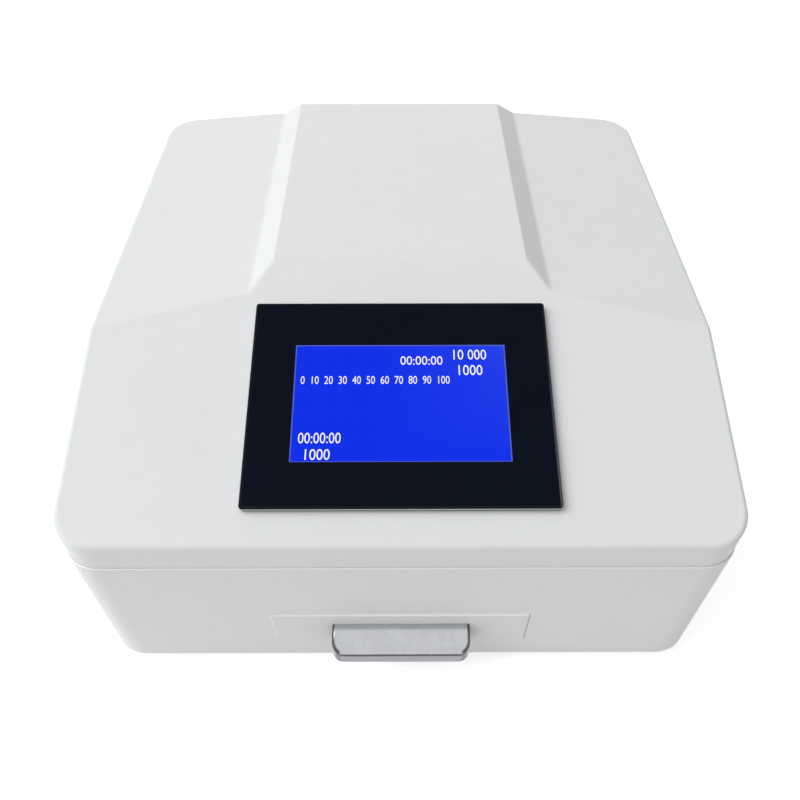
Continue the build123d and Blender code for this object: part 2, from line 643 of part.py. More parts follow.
FOOT_SEAT_Z = FOOT_HEIGHT - FOOT_WEB
with BuildPart() as foot_screws:
    with BuildSketch(level(FOOT_SEAT_Z, y=MID_Y)):
        with FOOT_POINTS:
            Circle(FOOT_HEAD_RADIUS)
    extrude(amount=-FOOT_HEAD_HEIGHT)
    with BuildSketch(level(FOOT_SEAT_Z, y=MID_Y)):
        with FOOT_POINTS:
            Circle(FOOT_SCREW_RADIUS)
    extrude(amount=FOOT_WEB + FLOOR)
save(foot_screws, "foot_screws")

# Operator panel: gasket, bezel, touch overlay, screen, rear box, its board, and the clamps that pull it down
with BuildPart() as panel_gasket:
    with BuildSketch(PANEL_PLANE):
        Rectangle(PANEL_WIDTH - GASKET_WIDTH, PANEL_HEIGHT - GASKET_WIDTH)
        Rectangle(PANEL_WIDTH - 2 * GASKET_WIDTH, PANEL_HEIGHT - 2 * GASKET_WIDTH, mode=Mode.SUBTRACT)
    extrude(amount=GASKET_THICKNESS)
save(panel_gasket, "panel_gasket")

TOUCH_WIDTH = PANEL_WIDTH - 2 * BEZEL_RIM
TOUCH_HEIGHT = PANEL_HEIGHT - 2 * BEZEL_RIM
SCREEN_FRAME_WIDTH = SCREEN_WIDTH + 2 * SCREEN_MARGIN
SCREEN_FRAME_HEIGHT = SCREEN_HEIGHT + 2 * SCREEN_MARGIN
with BuildPart() as panel_bezel:
    with BuildSketch(PANEL_PLANE.offset(BEZEL_BACK)):
        RectangleRounded(PANEL_WIDTH, PANEL_HEIGHT, PANEL_CORNER)
    extrude(amount=BEZEL_THICKNESS)
    front_face = panel_bezel.faces().sort_by(Axis((0, 0, 0), PANEL_PLANE.z_dir))[-1]
    chamfer(front_face.edges(), BEZEL_BEVEL)
    with BuildSketch(PANEL_PLANE.offset(TOUCH_BACK)):
        Rectangle(TOUCH_WIDTH, TOUCH_HEIGHT)
    extrude(amount=TOUCH_THICKNESS, mode=Mode.SUBTRACT)
    with BuildSketch(PANEL_PLANE.offset(BEZEL_BACK)):
        with Locations((0, -SCREEN_DROP)):
            Rectangle(SCREEN_FRAME_WIDTH, SCREEN_FRAME_HEIGHT)
    extrude(amount=BEZEL_THICKNESS, mode=Mode.SUBTRACT)
save(panel_bezel, "panel_bezel")

with BuildPart() as touch_overlay:
    with BuildSketch(PANEL_PLANE.offset(TOUCH_BACK)):
        Rectangle(TOUCH_WIDTH - SEAT_GAP, TOUCH_HEIGHT - SEAT_GAP)
        with Locations((0, -SCREEN_DROP)):
            Rectangle(SCREEN_WIDTH, SCREEN_HEIGHT, mode=Mode.SUBTRACT)
    extrude(amount=TOUCH_THICKNESS)
save(touch_overlay, "touch_overlay")

with BuildPart() as screen:
    with BuildSketch(PANEL_PLANE.offset(TOUCH_BACK)):
        with Locations((0, -SCREEN_DROP)):
            Rectangle(SCREEN_FRAME_WIDTH - SEAT_GAP, SCREEN_FRAME_HEIGHT - SEAT_GAP)
    extrude(amount=-SCREEN_THICKNESS)
save(screen, "screen")

BOX_FLOOR = BEZEL_BACK - PANEL_BOX_DEPTH + PANEL_BOX_WALL
PANEL_BOARD_WIDTH = PANEL_BOX_WIDTH - 2 * (PANEL_BOX_WALL + MAINBOARD_MARGIN)
PANEL_BOARD_HEIGHT = PANEL_BOX_HEIGHT - 2 * (PANEL_BOX_WALL + MAINBOARD_MARGIN)
PANEL_POST_POINTS = GridLocations(
    PANEL_BOARD_WIDTH - 4 * MAINBOARD_POST_RADIUS, PANEL_BOARD_HEIGHT - 4 * MAINBOARD_POST_RADIUS, 2, 2
)
with BuildPart() as panel_box:
    with BuildSketch(PANEL_PLANE.offset(BEZEL_BACK)):
        Rectangle(PANEL_BOX_WIDTH, PANEL_BOX_HEIGHT)
    extrude(amount=-PANEL_BOX_DEPTH)
    with BuildSketch(PANEL_PLANE.offset(BEZEL_BACK)):
        Rectangle(PANEL_BOX_WIDTH - 2 * PANEL_BOX_WALL, PANEL_BOX_HEIGHT - 2 * PANEL_BOX_WALL)
    extrude(amount=PANEL_BOX_WALL - PANEL_BOX_DEPTH, mode=Mode.SUBTRACT)
    with BuildSketch(PANEL_PLANE.offset(BOX_FLOOR)):
        with PANEL_POST_POINTS:
            RegularPolygon(MAINBOARD_POST_RADIUS, 6)
    extrude(amount=MAINBOARD_POST)
save(panel_box, "panel_box")

PANEL_BOARD_BACK = BOX_FLOOR + MAINBOARD_POST
PANEL_BOARD_FACE = PANEL_BOARD_BACK + BOARD_THICKNESS
with BuildPart() as panel_board:
    with BuildSketch(PANEL_PLANE.offset(PANEL_BOARD_BACK)):
        Rectangle(PANEL_BOARD_WIDTH, PANEL_BOARD_HEIGHT)
    extrude(amount=BOARD_THICKNESS)
    with BuildSketch(PANEL_PLANE.offset(PANEL_BOARD_FACE)):
        with GridLocations(2 * CHIP_SIZE, 2 * CHIP_SIZE, 3, 2):
            Rectangle(CHIP_SIZE, CHIP_SIZE)
    extrude(amount=CHIP_HEIGHT)
    with BuildSketch(PANEL_PLANE.offset(PANEL_BOARD_FACE)):
        with Locations((0, SOCKET_WIDTH - PANEL_BOARD_HEIGHT / 2)):
            Rectangle(SOCKET_LENGTH, SOCKET_WIDTH)
    extrude(amount=SOCKET_HEIGHT)
save(panel_board, "panel_board")

CLAMP_POINTS = GridLocations(CLAMP_PITCH, PANEL_BOX_HEIGHT + CLAMP_REACH, 2, 2)
with BuildPart() as panel_clamps:
    with BuildSketch(PANEL_PLANE.offset(CLAMP_TOP)):
        with CLAMP_POINTS:
            Rectangle(CLAMP_WIDTH, CLAMP_REACH)
            Circle(CLAMP_SCREW_RADIUS + THREAD_GAP, mode=Mode.SUBTRACT)
    extrude(amount=-CLAMP_HEIGHT)
save(panel_clamps, "panel_clamps")

with BuildPart() as panel_clamp_screws:
    with BuildSketch(PANEL_PLANE.offset(-WALL)):
        with CLAMP_POINTS:
            Circle(CLAMP_SCREW_RADIUS)
    extrude(amount=-CLAMP_SCREW_LENGTH)
    with BuildSketch(PANEL_PLANE.offset(-WALL - CLAMP_SCREW_LENGTH)):
        with CLAMP_POINTS:
            RegularPolygon(2 * CLAMP_SCREW_RADIUS, 6)
    extrude(amount=-CLAMP_SCREW_RADIUS)
save(panel_clamp_screws, "panel_clamp_screws")

# Drawer front, standing a little proud of the case
TRAY_SCREW_POINTS = GridLocations(TRAY_SCREW_PITCH_X, TRAY_SCREW_PITCH_Z, 2, 2)
STOP_SCREW_POINTS = GridLocations(STOP_SCREW_PITCH, 0, 2, 1)
HANDLE_SCREW_POINTS = GridLocations(HANDLE_SCREW_PITCH, 0, 2, 1)
TRAY_SCREW_BITE = DRAWER_THICKNESS - TRAY_SCREW_RADIUS
with BuildPart() as drawer_front:
    with BuildSketch(facing_front(FACE_Y, z=DRAWER_Z + DRAWER_HEIGHT / 2)):
        Rectangle(DRAWER_WIDTH, DRAWER_HEIGHT)
    extrude(amount=-DRAWER_THICKNESS)
    fillet(drawer_front.faces().sort_by(Axis.Y)[0].edges(), DRAWER_EDGE_RADIUS)
    with BuildSketch(facing_front(FACE_Y, z=HANDLE_SCREW_Z)):
        with HANDLE_SCREW_POINTS:
            Circle(HANDLE_SCREW_RADIUS + THREAD_GAP)
    extrude(amount=-DRAWER_THICKNESS, mode=Mode.SUBTRACT)
    with BuildSketch(facing_front(TRAY_START_Y, z=TRAY_MID_Z)):
        with TRAY_SCREW_POINTS:
            Circle(TRAY_SCREW_RADIUS + THREAD_GAP)
    extrude(amount=TRAY_SCREW_BITE + SEAT_GAP, mode=Mode.SUBTRACT)
save(drawer_front, "drawer_front")

# Drive tray: nose, drive pocket and a long tail that stays in the coil when the drawer is open
NOSE_START_Y = TRAY_START_Y + TRAY_WALL
TAIL_START_Y = POCKET_END_Y + TRAY_WALL
TAIL_LENGTH = TRAY_END_Y - TRAY_WALL - TAIL_START_Y
with BuildPart() as drawer_tray:
    with BuildSketch(facing_front(TRAY_START_Y, z=TRAY_MID_Z)):
        Rectangle(TRAY_WIDTH, TRAY_HEIGHT)
    extrude(amount=TRAY_START_Y - TRAY_END_Y)
    with BuildSketch(level(TRAY_Z + TRAY_FLOOR)):
        with Locations((0, NOSE_START_Y + TRAY_NOSE / 2)):
            Rectangle(POCKET_WIDTH, TRAY_NOSE)
        with Locations((0, POCKET_START_Y + POCKET_LENGTH / 2)):
            Rectangle(POCKET_WIDTH, POCKET_LENGTH)
        with Locations((0, TAIL_START_Y + TAIL_LENGTH / 2)):
            Rectangle(POCKET_WIDTH, TAIL_LENGTH)
    extrude(amount=POCKET_DEPTH, mode=Mode.SUBTRACT)
    with BuildSketch(level(TRAY_Z)):
        with Locations((0, TAIL_START_Y + TAIL_LENGTH / 2)):
            Rectangle(POCKET_WIDTH - 2 * TAIL_WINDOW_MARGIN, TAIL_LENGTH - 2 * TAIL_WINDOW_MARGIN)
    extrude(amount=TRAY_FLOOR, mode=Mode.SUBTRACT)
    with BuildSketch(facing_front(TRAY_START_Y, z=TRAY_MID_Z)):
        with TRAY_SCREW_POINTS:
            Circle(TRAY_SCREW_RADIUS + THREAD_GAP)
    extrude(amount=-TRAY_WALL, mode=Mode.SUBTRACT)
    with BuildSketch(facing_front(TRAY_START_Y, z=HANDLE_SCREW_Z)):
        with HANDLE_SCREW_POINTS:
            Circle(HANDLE_SCREW_RADIUS + THREAD_GAP)
    extrude(amount=-TRAY_WALL, mode=Mode.SUBTRACT)
    with BuildSketch(facing_front(TRAY_END_Y, z=TRAY_MID_Z)):
        with STOP_SCREW_POINTS:
            Circle(TRAY_SCREW_RADIUS + THREAD_GAP)
    extrude(amount=TRAY_WALL, mode=Mode.SUBTRACT)
save(drawer_tray, "drawer_tray")

with BuildPart() as tray_mat:
    with BuildSketch(level(TRAY_Z + TRAY_FLOOR)):
        with Locations((0, POCKET_START_Y + POCKET_LENGTH / 2)):
            Rectangle(POCKET_WIDTH - 2 * MAT_MARGIN, POCKET_LENGTH - 2 * MAT_MARGIN)
    extrude(amount=MAT_THICKNESS)
save(tray_mat, "tray_mat")

# Stop bar behind the tray: it meets the coil's back flange when the drawer is open, and carries the flag
with BuildPart() as stop_bar:
    with BuildSketch(facing_front(TRAY_END_Y, z=TRAY_MID_Z)):
        Rectangle(TRAY_WIDTH + 2 * STOP_OVERLAP, TRAY_HEIGHT)
        with STOP_SCREW_POINTS:
            Circle(TRAY_SCREW_RADIUS + THREAD_GAP, mode=Mode.SUBTRACT)
    extrude(amount=-STOP_THICKNESS)
    with BuildSketch(facing_front(STOP_END_Y, FLAG_X, TRAY_MID_Z)):
        Rectangle(FLAG_WIDTH, FLAG_HEIGHT)
    extrude(amount=-FLAG_LENGTH)
save(stop_bar, "stop_bar")

with BuildPart() as tray_screws:
    with BuildSketch(facing_front(NOSE_START_Y, z=TRAY_MID_Z)):
        with TRAY_SCREW_POINTS:
            Circle(TRAY_HEAD_RADIUS)
    extrude(amount=-TRAY_HEAD_HEIGHT)
    with BuildSketch(facing_front(NOSE_START_Y, z=TRAY_MID_Z)):
        with TRAY_SCREW_POINTS:
            Circle(TRAY_SCREW_RADIUS)
    extrude(amount=TRAY_WALL + TRAY_SCREW_BITE)
    with BuildSketch(facing_front(STOP_END_Y, z=TRAY_MID_Z)):
        with STOP_SCREW_POINTS:
            Circle(TRAY_HEAD_RADIUS)
    extrude(amount=-TRAY_HEAD_HEIGHT)
    with BuildSketch(facing_front(STOP_END_Y, z=TRAY_MID_Z)):
        with STOP_SCREW_POINTS:
            Circle(TRAY_SCREW_RADIUS)
    extrude(amount=STOP_THICKNESS + TRAY_WALL)
save(tray_screws, "tray_screws")


# Cup handle: a domed shell, open below for the fingers, with two screw posts inside
def handle_form(inset):
    """The handle's solid form, moved in by inset everywhere but at the drawer's face and below."""
    reach = HANDLE_REACH - inset
    with BuildPart() as form:
        with BuildSketch(level(HANDLE_Z, y=FACE_Y)):
            RectangleRounded(HANDLE_WIDTH - 2 * inset, 2 * reach, HANDLE_CORNER - inset)
        extrude(amount=HANDLE_HEIGHT)
        with BuildSketch(Plane.YZ):
            with BuildLine():
                top = (FACE_Y, HANDLE_Z + HANDLE_HEIGHT - inset)
                lip = (FACE_Y - reach, HANDLE_Z + HANDLE_LIP - inset / 2)
                Line((FACE_Y, HANDLE_Z), top)
                TangentArc(top, lip, tangent=(-1, 0))
                Polyline(lip, (FACE_Y - reach, HANDLE_Z), (FACE_Y, HANDLE_Z))
            make_face()
        extrude(amount=HANDLE_WIDTH, both=True, mode=Mode.INTERSECT)
    return form.part


def crown_edges(part):
    """The edges round the handle's dome: its two ends and the line where it turns into the front lip."""
    raised = part.edges().filter_by(lambda e: e.bounding_box().min.Z > HANDLE_Z + SMALL)
    return raised.filter_by(lambda e: e.center().Y < FACE_Y - SMALL)


HANDLE_POST_LENGTH = HANDLE_SCREW_BITE + HANDLE_WALL
with BuildPart() as handle_posts:
    with BuildSketch(facing_front(FACE_Y, z=HANDLE_SCREW_Z)):
        with HANDLE_SCREW_POINTS:
            Circle(HANDLE_POST_RADIUS)
            Rectangle(2 * HANDLE_POST_RADIUS, HANDLE_HEIGHT / 2, align=(Align.CENTER, Align.MIN))
    extrude(amount=HANDLE_POST_LENGTH)
    add(handle_form(HANDLE_WALL / 2), mode=Mode.INTERSECT)

with BuildPart() as drawer_handle:
    add(handle_form(0))
    fillet(crown_edges(drawer_handle.part), HANDLE_EDGE_RADIUS)
    add(handle_form(HANDLE_WALL), mode=Mode.SUBTRACT)
    add(handle_posts.part)
    with BuildSketch(facing_front(FACE_Y, z=HANDLE_SCREW_Z)):
        with HANDLE_SCREW_POINTS:
            Circle(HANDLE_SCREW_RADIUS + THREAD_GAP)
    extrude(amount=HANDLE_SCREW_BITE + SEAT_GAP, mode=Mode.SUBTRACT)
save(drawer_handle, "drawer_handle")

with BuildPart() as handle_screws:
    with BuildSketch(facing_front(NOSE_START_Y, z=HANDLE_SCREW_Z)):
        with HANDLE_SCREW_POINTS:
            Circle(HANDLE_HEAD_RADIUS)
    extrude(amount=-HANDLE_HEAD_HEIGHT)
    with BuildSketch(facing_front(NOSE_START_Y, z=HANDLE_SCREW_Z)):
        with HANDLE_SCREW_POINTS:
            Circle(HANDLE_SCREW_RADIUS)
    extrude(amount=TRAY_WALL + DRAWER_THICKNESS + HANDLE_SCREW_BITE)
save(handle_screws, "handle_screws")

# Coil former with two flanges that stand on the floor
with BuildPart() as coil_former:
    with BuildSketch(facing_front(COIL_START_Y, z=BORE_MID_Z)):
        Rectangle(BORE_WIDTH + 2 * FORMER_WALL, BORE_HEIGHT + 2 * FORMER_WALL)
    extrude(amount=-COIL_LENGTH)
    for y in (COIL_START_Y, COIL_END_Y - FLANGE_THICKNESS):
        with BuildSketch(facing_front(y, z=FLOOR_Z)):
            Rectangle(FLANGE_WIDTH, FLANGE_TOP_Z - FLOOR_Z, align=(Align.CENTER, Align.MIN))
        extrude(amount=-FLANGE_THICKNESS)
    with BuildSketch(facing_front(COIL_START_Y, z=BORE_MID_Z)):
        Rectangle(BORE_WIDTH, BORE_HEIGHT)
    extrude(amount=-COIL_LENGTH, mode=Mode.SUBTRACT)
    for side in (-1, 1):
        with BuildSketch(Plane.YZ.offset(side * FLANGE_WIDTH / 2)):
            with Locations((COIL_MID_Y, BRACKET_BOLT_Z)):
                with GridLocations(COIL_LENGTH - FLANGE_THICKNESS, 0, 2, 1):
                    Circle(COIL_BOLT_RADIUS + THREAD_GAP)
        extrude(amount=-side * (COIL_BOLT_BITE + SEAT_GAP), mode=Mode.SUBTRACT)
save(coil_former, "coil_former")

with BuildPart() as coil_winding:
    with BuildSketch(facing_front(COIL_START_Y + FLANGE_THICKNESS + WINDING_GAP, z=BORE_MID_Z)):
        RectangleRounded(
            BORE_WIDTH + 2 * (FORMER_WALL + WINDING_BUILD),
            BORE_HEIGHT + 2 * (FORMER_WALL + WINDING_BUILD),
            WINDING_BUILD,
        )
        Rectangle(BORE_WIDTH + 2 * FORMER_WALL, BORE_HEIGHT + 2 * FORMER_WALL, mode=Mode.SUBTRACT)
    extrude(amount=-(COIL_LENGTH - 2 * (FLANGE_THICKNESS + WINDING_GAP)))
save(coil_winding, "coil_winding")

# Guide strips in the lower corners of the coil's bore; the tray runs on them
for name, side in (("guide_strip_left", -1), ("guide_strip_right", 1)):
    with BuildPart() as guide_strip:
        with BuildSketch(facing_front(COIL_START_Y)):
            with Locations((side * (BORE_WIDTH - GUIDE_WIDTH) / 2, BORE_BOTTOM_Z + GUIDE_THICKNESS / 2)):
                Rectangle(GUIDE_WIDTH, GUIDE_THICKNESS)
            with Locations((side * (BORE_WIDTH - GUIDE_THICKNESS) / 2, BORE_BOTTOM_Z + GUIDE_HEIGHT / 2)):
                Rectangle(GUIDE_THICKNESS, GUIDE_HEIGHT)
        extrude(amount=-COIL_LENGTH)
    save(guide_strip, name)

# Angle brackets and hexagon bolts that hold the coil's flanges to the floor
with BuildPart() as coil_brackets:
    for y in (COIL_START_Y + FLANGE_THICKNESS / 2, COIL_END_Y - FLANGE_THICKNESS / 2):
        with BuildSketch(facing_front(y)):
            with Locations((FLANGE_WIDTH / 2, FLOOR_Z)):
                Rectangle(BRACKET_THICKNESS, BRACKET_LEG, align=(Align.MIN, Align.MIN))
                Rectangle(BRACKET_LEG + BRACKET_THICKNESS, BRACKET_THICKNESS, align=(Align.MIN, Align.MIN))
            mirror(about=Plane.YZ)
        extrude(amount=BRACKET_WIDTH / 2, both=True)
    with BuildSketch(level(FLOOR_Z, y=COIL_MID_Y)):
        with BRACKET_FOOT_POINTS:
            Circle(COIL_BOLT_RADIUS + THREAD_GAP)
    extrude(amount=BRACKET_THICKNESS, mode=Mode.SUBTRACT)
    for side in (-1, 1):
        with BuildSketch(Plane.YZ.offset(side * FLANGE_WIDTH / 2)):
            with Locations((COIL_MID_Y, BRACKET_BOLT_Z)):
                with GridLocations(COIL_LENGTH - FLANGE_THICKNESS, 0, 2, 1):
                    Circle(COIL_BOLT_RADIUS + THREAD_GAP)
        extrude(amount=side * BRACKET_THICKNESS, mode=Mode.SUBTRACT)
save(coil_brackets, "coil_brackets")

with BuildPart() as coil_bolts:
    with BuildSketch(level(FLOOR_Z + BRACKET_THICKNESS, y=COIL_MID_Y)):
        with BRACKET_FOOT_POINTS:
            RegularPolygon(COIL_HEAD_RADIUS, 6)
    extrude(amount=COIL_HEAD_HEIGHT)
    with BuildSketch(level(FLOOR_Z + BRACKET_THICKNESS, y=COIL_MID_Y)):
        with BRACKET_FOOT_POINTS:
            Circle(COIL_BOLT_RADIUS)
    extrude(amount=-BRACKET_THICKNESS - FLOOR)
    for side in (-1, 1):
        with BuildSketch(Plane.YZ.offset(side * (FLANGE_WIDTH / 2 + BRACKET_THICKNESS))):
            with Locations((COIL_MID_Y, BRACKET_BOLT_Z)):
                with GridLocations(COIL_LENGTH - FLANGE_THICKNESS, 0, 2, 1):
                    RegularPolygon(COIL_HEAD_RADIUS, 6)
        extrude(amount=side * COIL_HEAD_HEIGHT)
        with BuildSketch(Plane.YZ.offset(side * (FLANGE_WIDTH / 2 + BRACKET_THICKNESS))):
            with Locations((COIL_MID_Y, BRACKET_BOLT_Z)):
                with GridLocations(COIL_LENGTH - FLANGE_THICKNESS, 0, 2, 1):
                    Circle(COIL_BOLT_RADIUS)
        extrude(amount=-side * (BRACKET_THICKNESS + COIL_BOLT_BITE))
save(coil_bolts, "coil_bolts")

# Capacitor bank: a cradle on the floor, the cans, two interleaved busbars and the terminal screws
with BuildPart() as capacitor_cradle:
    with BuildSketch(level(FLOOR_Z, CAP_BANK_X, CAP_BANK_Y)):
        Rectangle(
            2 * CRADLE_HALF,
            BANK_DEPTH + 2 * CRADLE_MARGIN,
        )
        with CAP_POINTS:
            Circle(CAP_RADIUS + SEAT_GAP, mode=Mode.SUBTRACT)
    extrude(amount=CRADLE_HEIGHT)
save(capacitor_cradle, "capacitor_cradle")

for number, spot in enumerate(CAP_POINTS, start=1):
    cap_x = CAP_BANK_X + spot.position.X
    cap_y = CAP_BANK_Y + spot.position.Y
    with BuildPart() as pulse_capacitor:
        with BuildSketch(level(FLOOR_Z, cap_x, cap_y)):
            Circle(CAP_RADIUS)
        extrude(amount=CAP_HEIGHT)
        with BuildSketch(level(CAP_TOP_Z, cap_x, cap_y)):
            Circle(CAP_RADIUS - CAP_RIM)
        extrude(amount=-CAP_RIM_DEPTH, mode=Mode.SUBTRACT)
        with BuildSketch(level(BUSBAR_Z, cap_x, cap_y)):
            with GridLocations(0, TERMINAL_PITCH, 1, 2):
                RegularPolygon(TERMINAL_RADIUS, 6)
        extrude(amount=-TERMINAL_HEIGHT)
        with BuildSketch(level(BUSBAR_Z, cap_x, cap_y)):
            with GridLocations(0, TERMINAL_PITCH, 1, 2):
                Circle(TERMINAL_SCREW_RADIUS + THREAD_GAP)
        extrude(amount=-TERMINAL_SCREW_BITE - SEAT_GAP, mode=Mode.SUBTRACT)
    save(pulse_capacitor, f"pulse_capacitor_{number}")

BANK_HALF = CAP_PITCH * (CAP_COLUMNS - 1) / 2
BUSBAR_OUTER = BANK_HALF + CAP_RADIUS + BUSBAR_OVERHANG
BUSBAR_LENGTH = BUSBAR_OUTER + BANK_HALF + BUSBAR_WIDTH / 2
for name, side in (("positive_busbar", -1), ("negative_busbar", 1)):
    with BuildPart() as busbar:
        with BuildSketch(level(BUSBAR_Z, CAP_BANK_X, CAP_BANK_Y)):
            with Locations((side * (BUSBAR_OUTER - BUSBAR_LENGTH / 2), side * TERMINAL_PITCH / 2)):
                with GridLocations(0, CAP_PITCH, 1, CAP_ROWS):
                    Rectangle(BUSBAR_LENGTH, BUSBAR_WIDTH)
            with Locations((side * (BUSBAR_OUTER - BUSBAR_WIDTH / 2), side * TERMINAL_PITCH / 2)):
                Rectangle(BUSBAR_WIDTH, CAP_PITCH * (CAP_ROWS - 1) + BUSBAR_WIDTH)
        extrude(amount=BUSBAR_THICKNESS)
        with BuildSketch(level(BUSBAR_Z, CAP_BANK_X, CAP_BANK_Y + side * TERMINAL_PITCH / 2)):
            with CAP_POINTS:
                Circle(TERMINAL_SCREW_RADIUS + THREAD_GAP)
        extrude(amount=BUSBAR_THICKNESS, mode=Mode.SUBTRACT)
    save(busbar, name)

TERMINAL_SEAT_Z = BUSBAR_Z + BUSBAR_THICKNESS
with BuildPart() as terminal_screws:
    for side in (-1, 1):
        with BuildSketch(level(TERMINAL_SEAT_Z, CAP_BANK_X, CAP_BANK_Y + side * TERMINAL_PITCH / 2)):
            with CAP_POINTS:
                RegularPolygon(TERMINAL_HEAD_RADIUS, 6)
        extrude(amount=TERMINAL_HEAD_HEIGHT)
        with BuildSketch(level(TERMINAL_SEAT_Z, CAP_BANK_X, CAP_BANK_Y + side * TERMINAL_PITCH / 2)):
            with CAP_POINTS:
                Circle(TERMINAL_SCREW_RADIUS)
        extrude(amount=-BUSBAR_THICKNESS - TERMINAL_SCREW_BITE)
save(terminal_screws, "terminal_screws")

# Discharge switch: a finned heat sink that stands on its fins, with the thyristor module on top
with BuildPart() as heat_sink:
    with BuildSketch(facing_front(SINK_Y - SINK_LENGTH / 2)):
        with Locations((SINK_X, FLOOR_Z + SINK_HEIGHT - SINK_PLATE / 2)):
            Rectangle(SINK_WIDTH, SINK_PLATE)
        with Locations((SINK_X, FLOOR_Z + SINK_HEIGHT / 2)):
            with GridLocations((SINK_WIDTH - SINK_FIN) / (SINK_FINS - 1), 0, SINK_FINS, 1):
                Rectangle(SINK_FIN, SINK_HEIGHT)
    extrude(amount=-SINK_LENGTH)
save(heat_sink, "heat_sink")

THYRISTOR_Z = FLOOR_Z + SINK_HEIGHT
with BuildPart() as thyristor_module:
    with BuildSketch(level(THYRISTOR_Z, SINK_X, SINK_Y)):
        Rectangle(THYRISTOR_WIDTH, THYRISTOR_LENGTH)
    extrude(amount=THYRISTOR_HEIGHT)
    with BuildSketch(level(THYRISTOR_Z + THYRISTOR_HEIGHT, SINK_X, SINK_Y)):
        with GridLocations(0, THYRISTOR_LENGTH / 4, 1, 3):
            RegularPolygon(THYRISTOR_STUD_RADIUS, 6)
    extrude(amount=THYRISTOR_STUD_HEIGHT)
save(thyristor_module, "thyristor_module")

# Bleeder resistor in its finned housing
with BuildPart() as bleeder_resistor:
    with BuildSketch(level(FLOOR_Z, BLEEDER_X, BLEEDER_Y)):
        Rectangle(BLEEDER_FOOT, BLEEDER_LENGTH)
    extrude(amount=BLEEDER_FOOT_THICKNESS)
    with BuildSketch(level(FLOOR_Z, BLEEDER_X, BLEEDER_Y)):
        Rectangle(BLEEDER_WIDTH, BLEEDER_LENGTH)
    extrude(amount=BLEEDER_HEIGHT)
    with BuildSketch(level(FLOOR_Z + BLEEDER_HEIGHT, BLEEDER_X, BLEEDER_Y)):
        with GridLocations(BLEEDER_WIDTH / 4, 0, 3, 1):
            Rectangle(BLEEDER_FOOT_THICKNESS, BLEEDER_LENGTH)
    extrude(amount=-BLEEDER_FOOT_THICKNESS, mode=Mode.SUBTRACT)
save(bleeder_resistor, "bleeder_resistor")

# Charging transformer: a laminated core, the winding on its middle leg, and a strap bolted to the floor
CORE_MID_Z = FLOOR_Z + CORE_HEIGHT / 2
CORE_WINDOW = (CORE_WIDTH - CORE_LEG - 2 * CORE_LIMB) / 2
CORE_WINDOW_HEIGHT = CORE_HEIGHT - 2 * CORE_LIMB
with BuildPart() as transformer_core:
    with BuildSketch(facing_front(CORE_Y)):
        with Locations((CORE_X, CORE_MID_Z)):
            Rectangle(CORE_WIDTH, CORE_HEIGHT)
            with GridLocations(CORE_LEG + CORE_WINDOW, 0, 2, 1):
                Rectangle(CORE_WINDOW, CORE_WINDOW_HEIGHT, mode=Mode.SUBTRACT)
    extrude(amount=CORE_STACK / 2, both=True)
save(transformer_core, "transformer_core")

with BuildPart() as transformer_winding:
    with BuildSketch(level(CORE_MID_Z, CORE_X, CORE_Y)):
        RectangleRounded(CORE_LEG + 2 * BOBBIN_BUILD, CORE_STACK + 2 * BOBBIN_BUILD, BOBBIN_BUILD / 2)
        Rectangle(CORE_LEG, CORE_STACK, mode=Mode.SUBTRACT)
    extrude(amount=CORE_WINDOW_HEIGHT / 2 - BOBBIN_GAP, both=True)
save(transformer_winding, "transformer_winding")

with BuildPart() as transformer_strap:
    with BuildSketch(facing_front(CORE_Y)):
        with Locations((CORE_X, FLOOR_Z)):
            Rectangle(
                CORE_WIDTH + 2 * STRAP_THICKNESS,
                CORE_HEIGHT + STRAP_THICKNESS,
                align=(Align.CENTER, Align.MIN),
            )
            Rectangle(
                CORE_WIDTH + 2 * (STRAP_THICKNESS + STRAP_FOOT),
                STRAP_THICKNESS,
                align=(Align.CENTER, Align.MIN),
            )
            Rectangle(CORE_WIDTH, CORE_HEIGHT, align=(Align.CENTER, Align.MIN), mode=Mode.SUBTRACT)
    extrude(amount=STRAP_WIDTH / 2, both=True)
    with BuildSketch(level(FLOOR_Z, CORE_X, CORE_Y)):
        with STRAP_POINTS:
            Circle(STRAP_BOLT_RADIUS + THREAD_GAP)
    extrude(amount=STRAP_THICKNESS, mode=Mode.SUBTRACT)
save(transformer_strap, "transformer_strap")

with BuildPart() as transformer_bolts:
    with BuildSketch(level(FLOOR_Z + STRAP_THICKNESS, CORE_X, CORE_Y)):
        with STRAP_POINTS:
            RegularPolygon(STRAP_HEAD_RADIUS, 6)
    extrude(amount=STRAP_HEAD_HEIGHT)
    with BuildSketch(level(FLOOR_Z + STRAP_THICKNESS, CORE_X, CORE_Y)):
        with STRAP_POINTS:
            Circle(STRAP_BOLT_RADIUS)
    extrude(amount=-STRAP_THICKNESS - FLOOR)
save(transformer_bolts, "transformer_bolts")

# Circuit boards either side of the coil, on hexagon standoffs
with BuildPart() as board_standoffs:
    for side in (-1, 1):
        with BuildSketch(level(FLOOR_Z, side * BOARD_X, BOARD_Y)):
            with BOARD_POINTS:
                RegularPolygon(STANDOFF_RADIUS, 6)
        extrude(amount=STANDOFF_HEIGHT)
save(board_standoffs, "board_standoffs")

